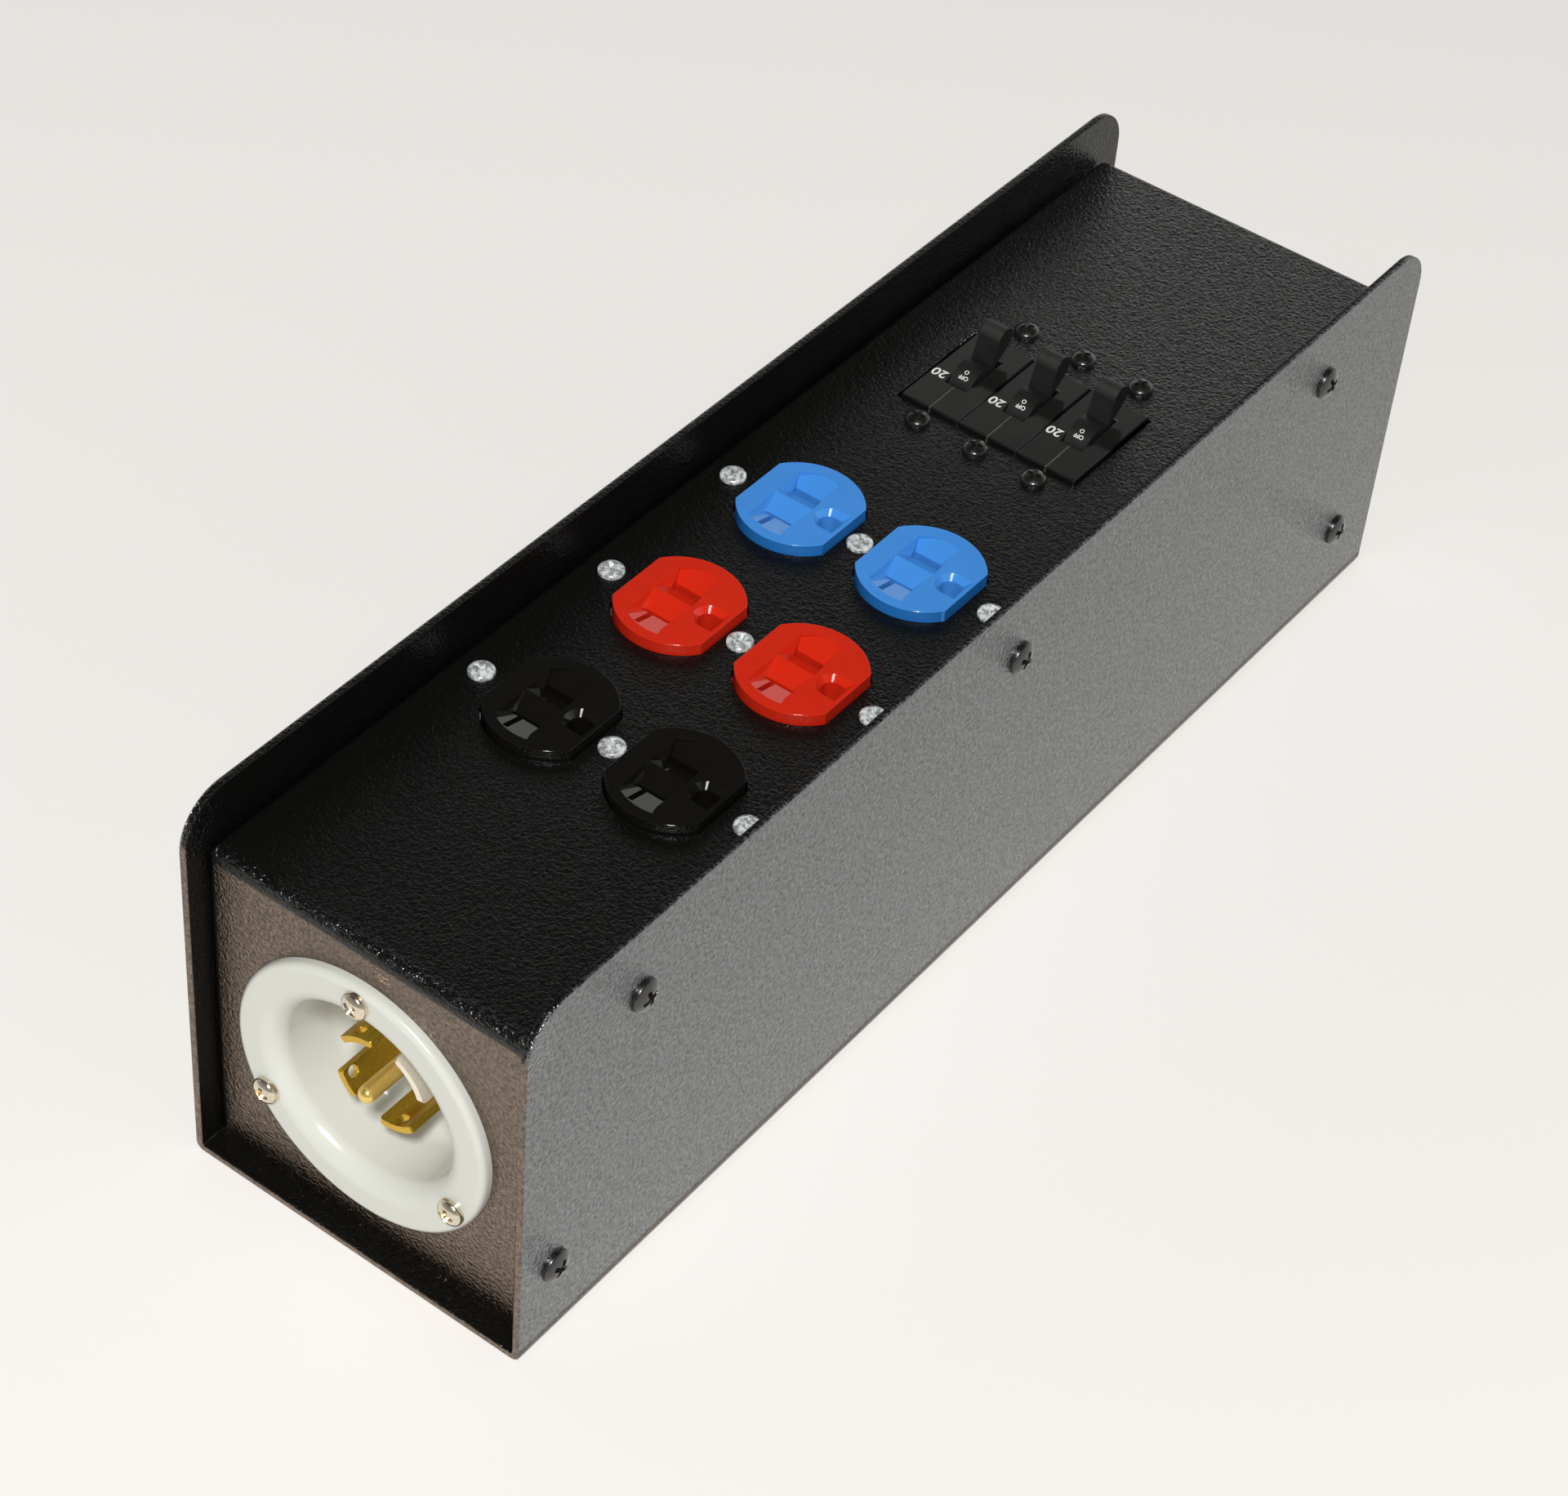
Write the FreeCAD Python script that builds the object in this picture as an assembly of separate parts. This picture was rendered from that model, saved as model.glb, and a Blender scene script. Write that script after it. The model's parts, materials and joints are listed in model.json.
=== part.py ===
import FreeCAD, Part
import math
import os

# Power stringer box. X runs across, +Y from the inlet end to the rear end, +Z up, in millimetres.
# The origin is on the floor, under the middle of the channel.

V = FreeCAD.Vector
X_DIR = V(1, 0, 0)
Y_DIR = V(0, 1, 0)
Z_DIR = V(0, 0, 1)

# Folded steel channel and cover
LENGTH = 397.0
WIDTH = 105.8
HEIGHT = 119.0
TOP = 103.4
SHEET = 2.1
BEND = 2.5
LIP_CORNER = 14.0
FRONT = -191.9
REAR = 189.8
COVER_WIDTH = 101.2
COVER_BOTTOM = 2.4
TOP_FLANGE = 16.0
END_FLANGE = 21.0
RELIEF = 1.5
UNDER = TOP - SHEET

# Side screws: distance from the front edge, distance below the top surface
SIDE_SCREWS = ((42.3, 7.2), (12.9, 77.9), (196.0, 6.9), (347.2, 6.2), (374.4, 76.8))
SIDE_HEAD_R = 4.65
SIDE_HEAD_H = 2.3
SIDE_SHANK_R = 2.05
SIDE_SHANK_L = 6.9
SIDE_HOLE_R = 2.3
CLINCH_R = 4.0
CLINCH_H = 2.3
CLINCH_BORE_R = 2.15

# Cross recess and rounding of every screw head, as shares of its radius or height
HEAD_ROUND = 0.75
RECESS_REACH = 0.55
RECESS_HALF = 0.13
RECESS_FLOOR = 0.35

# Small panel screws and nuts
SMALL_SHANK_R = 1.7
SMALL_HOLE_R = 2.0
NUT_ACROSS = 6.4
NUT_H = 2.6
NUT_BORE_R = 1.8

# Round locking inlet
INLET_X = -0.85
INLET_Z = 52.6
INLET_FLANGE_R = 39.2
INLET_FLANGE_T = 3.2
INLET_FACE = FRONT - INLET_FLANGE_T
INLET_EDGE = 1.6
INLET_LIP = 5.0
CUP_R = 26.8
CUP_OUTER_R = 29.6
CUP_DEPTH = 25.5
CUP_FLOOR_T = 4.0
CUP_BACK = INLET_FACE + CUP_DEPTH + CUP_FLOOR_T
INLET_HOLE_R = 30.2
INLET_SCREW_CIRCLE = 34.25
INLET_SCREW_ANGLES = (90, 210, 330)
INLET_HEAD_R = 3.8
INLET_HEAD_H = 2.8
BLOCK_R = 28.5
BLOCK_L = 20.0
BLOCK_BACK = CUP_BACK + BLOCK_L
BLADE_CIRCLE = 14.0
BLADE_T = 1.9
BLADE_BACK = CUP_BACK + 13.5
BLADE_HOLE_R = 1.6
BLADE_HOLE_SETBACK = 3.0
BLADES = {"neutral": (14, 67), "x": (95, 139), "y": (202, 233), "z": (268, 313)}
BLADE_DEPTH = {"neutral": 7.0, "x": 6.0, "y": 7.9, "z": 8.1}
BLADE_HOLES = {"x": 117, "y": 210, "z": 291}
BLADE_PLAY = 0.12
PIN_R = 2.4
PIN_TIP = INLET_FACE + 1.1
CLAMP_SCREW_R = 2.0
CLAMP_SETBACK = 7.0
CLAMP_ROOM = 0.2
PIN_CLAMP_ANGLE = 81.0
TOUCH = 0.1

# Duplex receptacles
ROWS = {"black": -102.95, "red": -51.89, "blue": -0.83}
OUTLET_X = 19.45
FACE_R = 17.15
FACE_FLAT = 14.3
FACE_H = 3.05
FACE_EDGE = 0.5
FACE_GAP = 0.45
DEVICE_X = 33.5
DEVICE_Y = 16.5
STRAP_T = 1.2
STRAP_TOP = UNDER - 10.7
STRAP_BOTTOM = STRAP_TOP - STRAP_T
STRAP_HALF = 46.0
STRAP_LEG_X = 35.0
EAR_Y = 9.5
BODY_BOTTOM = TOP - 28.0
SCREW_X = 41.65
RECEPTACLE_HEAD_R = 3.6
RECEPTACLE_HEAD_H = 1.8
HOT_DY = 6.4
SLOT_W = 2.0
SLOT_LEFT = -6.8
SLOT_RIGHT = 1.3
LEG_LEFT = -4.3
LEG_RIGHT = -2.7
LEG_END = 12.6
RECESS_LEFT = -7.6
RECESS_RIGHT = 2.6
RAMP_TOP = 12.2
RIDGE_H = 3.0
STRIP_TOP = 13.2
POCKET_ROOM = 0.6
POCKET_HALF = 2.6
POCKET_TOP = TOP - 4.0
GROUND_DX = 9.0
GROUND_R = 2.6
GROUND_FLARE = 1.5
GROUND_FLARE_H = 1.6
TERMINAL_Z = TOP - 20.0
TERMINAL_X = 9.0
TERMINAL_HEAD_R = 3.6
TERMINAL_HEAD_H = 2.2
TERMINAL_SHANK = 6.0
EARTH_SHANK = 4.6
PLATE_OUT = 16.7
PLATE_HALF = 4.5
CONTACT_T = 0.9
TROUGH_NEAR = 3.6
TROUGH_FAR = 9.6
TROUGH_X = 30.0
RAIL_NEAR = 4.2
RAIL_FAR = 9.2
RAIL_X = 28.0
LEAF_PLACES = (-1.9, 1.0)
LEAF_TOP = TOP - 4.6
STRAP_WEB = 3.3
STRAP_TAB = 5.0
EARTH_BAR_HALF = 2.6
SLEEVE_WALL = 0.3
SLEEVE_H = 6.0

# Toggle breakers
BREAKER_PITCH = 19.05
BREAKER_W = 18.8
BREAKER_Y = 51.46
BREAKER_SPAN = 52.37
CASE_END = 5.9
CASE_BOTTOM = TOP - 48.0
CASE_WALL = 2.0
RAISED_NEAR = BREAKER_Y + 5.6
RAISED_FAR = BREAKER_Y + 42.2
RAISED_TOP = TOP + 1.2
RAISED_EDGE = 0.4
PIVOT_Y = BREAKER_Y + 26.2
PIVOT_Z = TOP - 4.2
DRUM_R = 7.8
DRUM_W = 6.8
LEVER_TILT = 36.7
LEVER_BASE = 0.6
LEVER_BASE_U = 7.0
LEVER_KNEE = 3.12
LEVER_KNEE_U = 15.2
LEVER_END_R = 3.25
LEVER_END_U = 16.1
HANDLE_SLOT_Y = 8.7
HANDLE_SLOT_X = 3.6
PIVOT_PIN_R = 1.2
PIVOT_PIN_HALF = 8.6
PIVOT_BORE_R = 1.27
ARM_Y = BREAKER_Y + 42.0
ARM_Z = TOP - 24.0
ARM_L = 25.0
ARM_T = 3.0
ARM_W = 4.0
ARM_BOSS_R = 3.2
BUTTON_R = 1.9
BUTTON_H = 1.2
BUTTON_BACK = 3.0
FIXED_CONTACT_Z = TOP - 31.0
TAB_T = 1.2
TAB_W = 5.0
TAB_BOTTOM = TOP - 56.0
LINE_TAB_Y = BREAKER_Y + 9.0
LOAD_TAB_Y = BREAKER_Y + 46.0
COIL_R = 5.2
COIL_L = 18.0
COIL_Z = TOP - 38.5
BREAKER_HEAD_R = 3.6
BREAKER_HEAD_H = 2.2
WINDOW_GAP = 0.3

# Wiring and earth bar
LINE_WIRE_R = 1.9
THIN_WIRE_R = 1.5
WIRE_BEND = 18.0
LINE_LANE_Z = 14.0
LOAD_LANE_Z = 28.0
NEUTRAL_LANE_Z = 66.0
EARTH_LANE_Z = 7.0
BAR_X = -46.0
BAR_W = 8.0
BAR_H = 10.0
BAR_FIRST = -70.0
BAR_PITCH = 10.0
BAR_HOLE_R = 1.75
BAR_WIRES = 4
BAR_SCREW_STEPS = (-0.7, 3.7)
BAR_HEAD_R = 2.9
BAR_HEAD_H = 2.0
WIRE_START = 0.4
WIRE_END = 2.0
BESIDE_SCREW = 0.3


def box(x0, x1, y0, y1, z0, z1):
    """A block between two corners."""
    return Part.makeBox(x1 - x0, y1 - y0, z1 - z0, V(x0, y0, z0))


def rod(x, y, z, axis, radius, length):
    """A round bar from a point along an axis."""
    return Part.makeCylinder(radius, length, V(x, y, z), axis)


def edges_along(shape, axis, test):
    """Straight edges parallel to one axis (0, 1, 2 for X, Y, Z) whose middle passes the test."""
    found = []
    for edge in shape.Edges:
        bound = edge.BoundBox
        spans = [bound.XLength, bound.YLength, bound.ZLength]
        length = spans.pop(axis)
        if length > 0.5 and max(spans) < 0.01 and test(bound.Center):
            found.append(edge)
    return found


def outline_x(points, x0, x1):
    """A straight-sided outline in the Y-Z plane, pulled along X."""
    corners = [V(x0, y, z) for y, z in points]
    wire = Part.makePolygon(corners + corners[:1])
    return Part.Face(wire).extrude(V(x1 - x0, 0, 0))


def place(shape, seat, drive):
    """Set a piece made along -Z so that its -Z points along drive."""
    shape.Placement = FreeCAD.Placement(seat, FreeCAD.Rotation(V(0, 0, -1), drive))
    return shape


def screw(seat, drive, head_r, head_h, shank_r, shank_l):
    """A pan-head cross-recess screw; seat is under the head, drive points to the tip."""
    head = Part.makeCylinder(head_r, head_h)
    rim = [edge for edge in head.Edges if edge.BoundBox.ZMin > head_h / 2]
    head = head.makeFillet(HEAD_ROUND * head_h, rim)
    reach = RECESS_REACH * head_r
    slot = RECESS_HALF * head_r
    floor = RECESS_FLOOR * head_h
    head = head.cut(box(-reach, reach, -slot, slot, floor, head_h))
    head = head.cut(box(-slot, slot, -reach, reach, floor, head_h))
    shank = Part.makeCylinder(shank_r, shank_l, V(0, 0, -shank_l))
    return place(head.fuse(shank), seat, drive)


def hex_nut(seat, drive):
    """A small hex nut that starts at its seat and runs along drive."""
    radius = NUT_ACROSS / math.sqrt(3)
    corners = []
    for step in range(7):
        turn = math.radians(60 * step)
        corners.append(V(radius * math.cos(turn), radius * math.sin(turn), 0))
    prism = Part.Face(Part.makePolygon(corners)).extrude(V(0, 0, -NUT_H))
    prism = prism.cut(rod(0, 0, -2 * NUT_H, Z_DIR, NUT_BORE_R, 3 * NUT_H))
    return place(prism, seat, drive)


def wire(points, radius):
    """A round conductor along straight runs joined by tangent arcs."""
    route = [V(*point) for point in points]
    edges = []
    start = route[0]
    for before, corner, after in zip(route, route[1:], route[2:]):
        back = before - corner
        ahead = after - corner
        half_turn = (math.pi - back.getAngle(ahead)) / 2
        room = 0.45 * min(back.Length, ahead.Length)
        bend = min(room / math.tan(half_turn), WIRE_BEND)
        trim = bend * math.tan(half_turn)
        back.normalize()
        ahead.normalize()
        inward = (back + ahead).normalize()
        first = corner + back * trim
        middle = corner + inward * (bend / math.cos(half_turn) - bend)
        last = corner + ahead * trim
        edges.append(Part.LineSegment(start, first).toShape())
        edges.append(Part.Arc(first, middle, last).toShape())
        start = last
    edges.append(Part.LineSegment(start, route[-1]).toShape())
    path = Part.Wire(edges)
    ring = Part.Wire([Part.makeCircle(radius, route[0], route[1] - route[0])])
    return path.makePipeShell([ring], True, False)


def save(name, *solids):
    """Write one node; like pieces share a node as separate solids."""
    shape = solids[0] if len(solids) == 1 else Part.makeCompound(list(solids))
    shape.exportStep("parts/" + name + ".step")


# Channel and cover

def side_screw_places():
    """Places of the side screws as (y, z) in the part's own frame."""
    return [(along - LENGTH / 2, TOP - below) for along, below in SIDE_SCREWS]


def chassis():
    """The folded channel: a floor and two side panels that stand above the cover as lips."""
    half = WIDTH / 2
    outer = box(-half, half, -LENGTH / 2, LENGTH / 2, 0, HEIGHT)
    outer = outer.makeFillet(BEND, edges_along(outer, 1, lambda c: c.z < 1))
    inner = box(-half + SHEET, half - SHEET, -LENGTH, LENGTH, SHEET, 2 * HEIGHT)
    inner = inner.makeFillet(BEND - SHEET, edges_along(inner, 1, lambda c: c.z < HEIGHT))
    channel = outer.cut(inner)
    lips = edges_along(channel, 0, lambda c: c.z > HEIGHT - 1)
    channel = channel.makeFillet(LIP_CORNER, lips)
    for y, z in side_screw_places():
        channel = channel.cut(rod(-WIDTH, y, z, X_DIR, SIDE_HOLE_R, 2 * WIDTH))
    for y in bar_screw_places():
        channel = channel.cut(rod(BAR_X + BAR_W / 2, y, -1, Z_DIR, NUT_BORE_R, 2 * SHEET))
    return channel


def face_outline(x, y, radius, flat, z0, z1):
    """A round outlet plug shape with two flats, as a solid between two heights."""
    disc = rod(x, y, z0, Z_DIR, radius, z1 - z0)
    return disc.common(box(x - flat, x + flat, y - radius, y + radius, z0, z1))


def cover():
    """The folded lid: top, two ends, and flanges that take the side screws."""
    half = COVER_WIDTH / 2
    outer = box(-half, half, FRONT, REAR, COVER_BOTTOM, TOP)
    bends = edges_along(outer, 2, lambda c: True)
    for axis in (0, 1):
        bends += edges_along(outer, axis, lambda c: c.z > TOP - 1)
    outer = outer.makeFillet(BEND, bends)
    lid = outer.cut(box(-half + SHEET, half - SHEET, FRONT + SHEET, REAR - SHEET, 0, UNDER))
    reach = half + 1
    lid = lid.cut(box(-reach, reach, FRONT + END_FLANGE, REAR - END_FLANGE, 0, TOP - TOP_FLANGE))
    for end, inward in ((FRONT, 1), (REAR, -1)):
        near, far = sorted((end + inward * BEND, end + inward * (END_FLANGE + 1)))
        lid = lid.cut(box(-reach, reach, near, far, TOP - TOP_FLANGE - RELIEF, TOP - TOP_FLANGE))
        near, far = sorted((end + inward * BEND, end + inward * (BEND + RELIEF)))
        lid = lid.cut(box(-reach, reach, near, far, TOP - TOP_FLANGE, TOP - BEND))
    for y, z in side_screw_places():
        lid = lid.cut(rod(-WIDTH, y, z, X_DIR, SIDE_HOLE_R, 2 * WIDTH))
    lid = lid.cut(rod(INLET_X, FRONT - 1, INLET_Z, Y_DIR, INLET_HOLE_R, 2 * SHEET))
    for x, z in inlet_screw_places():
        lid = lid.cut(rod(x, FRONT - 1, z, Y_DIR, SMALL_HOLE_R, 2 * SHEET))
    for y in ROWS.values():
        for side in (-1, 1):
            hole = (side * OUTLET_X, y, FACE_R + FACE_GAP, FACE_FLAT + FACE_GAP)
            lid = lid.cut(face_outline(*hole, UNDER - 1, TOP + 1))
        for x in (-SCREW_X, 0, SCREW_X):
            lid = lid.cut(rod(x, y, UNDER - 1, Z_DIR, SMALL_HOLE_R, 2 * SHEET))
    wide = 1.5 * BREAKER_PITCH + WINDOW_GAP
    window = (-wide, wide, RAISED_NEAR - WINDOW_GAP, RAISED_FAR + WINDOW_GAP)
    lid = lid.cut(box(*window, UNDER - 1, TOP + 1))
    for x, y in breaker_screw_places():
        lid = lid.cut(rod(x, y, UNDER - 1, Z_DIR, SMALL_HOLE_R, 2 * SHEET))
    return lid


def save_channel_and_cover():
    """The channel, the cover, and what holds them together."""
    save("chassis", chassis())
    save("cover", cover())
    screws = []
    nuts = []
    for y, z in side_screw_places():
        for side in (-1, 1):
            inward = V(-side, 0, 0)
            seat = V(side * WIDTH / 2, y, z)
            screws.append(screw(seat, inward, SIDE_HEAD_R, SIDE_HEAD_H, SIDE_SHANK_R, SIDE_SHANK_L))
            flange = side * (COVER_WIDTH / 2 - SHEET)
            nut = rod(flange, y, z, inward, CLINCH_R, CLINCH_H)
            nuts.append(nut.cut(rod(flange, y, z, inward, CLINCH_BORE_R, CLINCH_H)))
    save("side_screws", *screws)
    save("cover_nuts", *nuts)


# Round locking inlet

def inlet_screw_places():
    """Places of the flange screws as (x, z)."""
    places = []
    for angle in INLET_SCREW_ANGLES:
        turn = math.radians(angle)
        x = INLET_X + INLET_SCREW_CIRCLE * math.cos(turn)
        places.append((x, INLET_Z + INLET_SCREW_CIRCLE * math.sin(turn)))
    return places


def around_inlet(radius, angle, y):
    """A point at a radius and an angle about the inlet's axis, seen from the front."""
    turn = math.radians(angle)
    return V(INLET_X + radius * math.cos(turn), y, INLET_Z + radius * math.sin(turn))


def blade(first, last, y0, y1, play=0.0):
    """A curved blade between two angles, or with play the slot that it stands in."""
    inner = BLADE_CIRCLE - BLADE_T / 2 - play
    outer = BLADE_CIRCLE + BLADE_T / 2 + play
    spread = math.degrees(play / BLADE_CIRCLE)
    a, b = first - spread, last + spread
    middle = (a + b) / 2
    corners = [around_inlet(r, angle, y0) for r, angle in ((outer, a), (outer, b), (inner, b), (inner, a))]
    edges = [
        Part.Arc(corners[0], around_inlet(outer, middle, y0), corners[1]).toShape(),
        Part.LineSegment(corners[1], corners[2]).toShape(),
        Part.Arc(corners[2], around_inlet(inner, middle, y0), corners[3]).toShape(),
        Part.LineSegment(corners[3], corners[0]).toShape(),
    ]
    return Part.Face(Part.Wire(edges)).extrude(V(0, y1 - y0, 0))


def cut_blade_slots(solid):
    """Open the four blade slots and the pin hole through a moulding."""
    for first, last in BLADES.values():
        solid = solid.cut(blade(first, last, INLET_FACE, BLADE_BACK, BLADE_PLAY))
    long = BLOCK_BACK - PIN_TIP
    return solid.cut(rod(INLET_X, PIN_TIP, INLET_Z, Y_DIR, PIN_R + BLADE_PLAY, long))


def inlet_shell():
    """White flange and cup with a floor that the blades stand in."""
    flange = rod(INLET_X, INLET_FACE, INLET_Z, Y_DIR, INLET_FLANGE_R, INLET_FLANGE_T)
    cup = rod(INLET_X, FRONT, INLET_Z, Y_DIR, CUP_OUTER_R, CUP_BACK - FRONT)
    shell = flange.fuse(cup)
    shell = shell.cut(rod(INLET_X, INLET_FACE, INLET_Z, Y_DIR, CUP_R, CUP_DEPTH))
    rims = {INLET_FLANGE_R: INLET_EDGE, CUP_R: INLET_LIP}
    for radius, rounding in rims.items():
        rim = []
        for edge in shell.Edges:
            bound = edge.BoundBox
            on_face = bound.YMax < INLET_FACE + 0.01
            if on_face and abs(bound.XLength / 2 - radius) < 0.01:
                rim.append(edge)
        shell = shell.makeFillet(rounding, rim)
    for x, z in inlet_screw_places():
        shell = shell.cut(rod(x, INLET_FACE - 1, z, Y_DIR, SMALL_HOLE_R, 2 * INLET_FLANGE_T))
    return cut_blade_slots(shell)


def outward(angle):
    """The direction away from the inlet's axis at an angle."""
    return around_inlet(1, angle, 0) - V(INLET_X, 0, INLET_Z)


def clamps():
    """Angle and inner radius of each clamp screw: one over each blade and one over the pin."""
    over_blade = BLADE_CIRCLE + BLADE_T / 2 + TOUCH
    places = [((first + last) / 2, over_blade) for first, last in BLADES.values()]
    return places + [(PIN_CLAMP_ANGLE, PIN_R + TOUCH)]


def clamp_screw(angle, inner, radius, outer):
    """A clamp screw, or the hole for it, between two radii of the inlet's rear moulding."""
    start = around_inlet(inner, angle, CUP_BACK + CLAMP_SETBACK)
    return Part.makeCylinder(radius, outer - inner, start, outward(angle))


def inlet_terminal_block():
    """Rear moulding with a wire hole behind each blade and a radial hole for its clamp screw."""
    block = rod(INLET_X, CUP_BACK, INLET_Z, Y_DIR, BLOCK_R, BLOCK_L)
    block = cut_blade_slots(block)
    for first, last in BLADES.values():
        hole = around_inlet(BLADE_CIRCLE, (first + last) / 2, BLADE_BACK)
        block = block.cut(Part.makeCylinder(LINE_WIRE_R + 0.3, BLOCK_L, hole, Y_DIR))
    for angle, inner in clamps():
        block = block.cut(clamp_screw(angle, inner - 1, CLAMP_SCREW_R + CLAMP_ROOM, BLOCK_R + 1))
    return block


def inlet_blade(name):
    """One curved blade; the live ones have a hole near the tip."""
    tip = INLET_FACE + BLADE_DEPTH[name]
    solid = blade(*BLADES[name], tip, BLADE_BACK)
    if name not in BLADE_HOLES:
        return solid
    angle = BLADE_HOLES[name]
    start = around_inlet(0, angle, tip + BLADE_HOLE_SETBACK)
    return solid.cut(Part.makeCylinder(BLADE_HOLE_R, 2 * BLADE_CIRCLE, start, outward(angle)))


def inlet_ground_pin():
    """Round pin with a domed tip."""
    pin = rod(INLET_X, PIN_TIP + PIN_R, INLET_Z, Y_DIR, PIN_R, BLADE_BACK - PIN_TIP - PIN_R)
    dome = Part.makeSphere(PIN_R, V(INLET_X, PIN_TIP + PIN_R, INLET_Z))
    return pin.fuse(dome).removeSplitter()


def save_inlet():
    """The inlet with its blades, screws and clamp screws."""
    save("inlet_shell", inlet_shell())
    save("inlet_terminal_block", inlet_terminal_block())
    for name in BLADES:
        save("inlet_blade_" + name, inlet_blade(name))
    save("inlet_ground_pin", inlet_ground_pin())
    depth = BLOCK_R - 2
    save("inlet_terminal_screws", *[clamp_screw(*seat, CLAMP_SCREW_R, depth) for seat in clamps()])
    screws = []
    for x, z in inlet_screw_places():
        length = INLET_FLANGE_T + SHEET + NUT_H + 1
        seat = V(x, INLET_FACE, z)
        screws.append(screw(seat, Y_DIR, INLET_HEAD_R, INLET_HEAD_H, SMALL_SHANK_R, length))
    save("inlet_screws", *screws)


# Duplex receptacles

def recess(x, y):
    """The sloped recess round the two blade slots of one outlet: two pits with a ridge between."""
    above = FACE_H + 0.5
    near = HOT_DY - SLOT_W / 2
    far = HOT_DY + SLOT_W / 2
    profile = ((RAMP_TOP, above), (RAMP_TOP, FACE_H), (far, 0), (near, 0), (0, RIDGE_H),
               (-near, 0), (-far, 0), (-STRIP_TOP, FACE_H), (-STRIP_TOP, above))
    return outline_x([(y + dy, TOP + dz) for dy, dz in profile], x + RECESS_LEFT, x + RECESS_RIGHT)


def receptacle_face(y):
    """Front moulding: two outlet faces on one base, with slots and ground holes."""
    base_top = UNDER - STRAP_T
    face = box(-DEVICE_X, DEVICE_X, y - DEVICE_Y, y + DEVICE_Y, STRAP_TOP, base_top)
    for side in (-1, 1):
        x = side * OUTLET_X
        outlet = face_outline(x, y, FACE_R, FACE_FLAT, STRAP_TOP, TOP + FACE_H)
        rim = [e for e in outlet.Edges if e.BoundBox.ZMin > TOP + FACE_H - 0.01]
        face = face.fuse(outlet.makeFillet(FACE_EDGE, rim))
    low = STRAP_TOP - 1
    for side in (-1, 1):
        x = side * OUTLET_X
        face = face.cut(recess(x, y))
        for dy in (HOT_DY, -HOT_DY):
            slot = (x + SLOT_LEFT, x + SLOT_RIGHT, y + dy - SLOT_W / 2, y + dy + SLOT_W / 2)
            face = face.cut(box(*slot, low, TOP + FACE_H))
        leg = (x + LEG_LEFT, x + LEG_RIGHT, y - LEG_END, y - HOT_DY)
        face = face.cut(box(*leg, low, TOP + FACE_H))
        ground = x + GROUND_DX
        face = face.cut(rod(ground, y, low, Z_DIR, GROUND_R, TOP - low + FACE_H))
        start = V(ground, y, TOP + FACE_H - GROUND_FLARE_H)
        face = face.cut(Part.makeCone(GROUND_R, GROUND_R + GROUND_FLARE, GROUND_FLARE_H, start))
        face = face.cut(rod(ground, y, low, Z_DIR, GROUND_R + POCKET_ROOM, POCKET_TOP - low))
        for dy in (HOT_DY, -HOT_DY):
            across = (x + SLOT_LEFT - POCKET_ROOM, x + SLOT_RIGHT + POCKET_ROOM)
            along = (y + dy - POCKET_HALF, y + dy + POCKET_HALF)
            face = face.cut(box(*across, *along, low, POCKET_TOP))
    bar = GROUND_DX + OUTLET_X + 4
    half = EARTH_BAR_HALF + SLEEVE_WALL
    face = face.cut(box(-bar, bar, y - half, y + half, low, STRAP_TOP + CONTACT_T + CLAMP_ROOM))
    return face.cut(rod(0, y, low, Z_DIR, SMALL_HOLE_R, TOP - low))


def receptacle_body(y):
    """Back moulding with a trough for each side's contact and pockets for the side screws."""
    body = box(-DEVICE_X, DEVICE_X, y - DEVICE_Y, y + DEVICE_Y, BODY_BOTTOM, STRAP_BOTTOM)
    above = STRAP_BOTTOM + 1
    for side in (-1, 1):
        trough = sorted((y + side * TROUGH_NEAR, y + side * TROUGH_FAR))
        body = body.cut(box(-TROUGH_X, TROUGH_X, *trough, BODY_BOTTOM + 2, above))
        pocket = sorted((y + side * 6.0, y + side * (DEVICE_Y + 1)))
        reach = TERMINAL_X + 5
        body = body.cut(box(-reach, reach, *pocket, TERMINAL_Z - 5, above))
    return body.cut(box(-2.2, 2.2, y - 5, y + 5, STRAP_BOTTOM - 3, above))


def receptacle_strap(y):
    """Steel strap between the two mouldings, with ears under the top and an earth tab."""
    leg = STRAP_LEG_X + STRAP_T
    strap = box(-leg, leg, y - STRAP_WEB, y + STRAP_WEB, STRAP_BOTTOM, STRAP_TOP)
    for side in (-1, 1):
        wall = sorted((side * STRAP_LEG_X, side * leg))
        strap = strap.fuse(box(*wall, y - EAR_Y, y + EAR_Y, STRAP_BOTTOM, UNDER))
        ear = sorted((side * STRAP_LEG_X, side * STRAP_HALF))
        strap = strap.fuse(box(*ear, y - EAR_Y, y + EAR_Y, UNDER - STRAP_T, UNDER))
        hole = rod(side * SCREW_X, y, UNDER - 2 * STRAP_T, Z_DIR, SMALL_HOLE_R, 3 * STRAP_T)
        strap = strap.cut(hole)
    tab = (y - STRAP_TAB, y + STRAP_TAB, TERMINAL_Z - STRAP_TAB, STRAP_BOTTOM)
    strap = strap.fuse(box(STRAP_LEG_X, leg, *tab))
    strap = strap.cut(rod(STRAP_LEG_X - 1, y, TERMINAL_Z, X_DIR, CLAMP_SCREW_R + TOUCH, 3))
    strap = strap.cut(rod(0, y, STRAP_BOTTOM - 1, Z_DIR, NUT_BORE_R, 3))
    return strap.removeSplitter()


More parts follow.
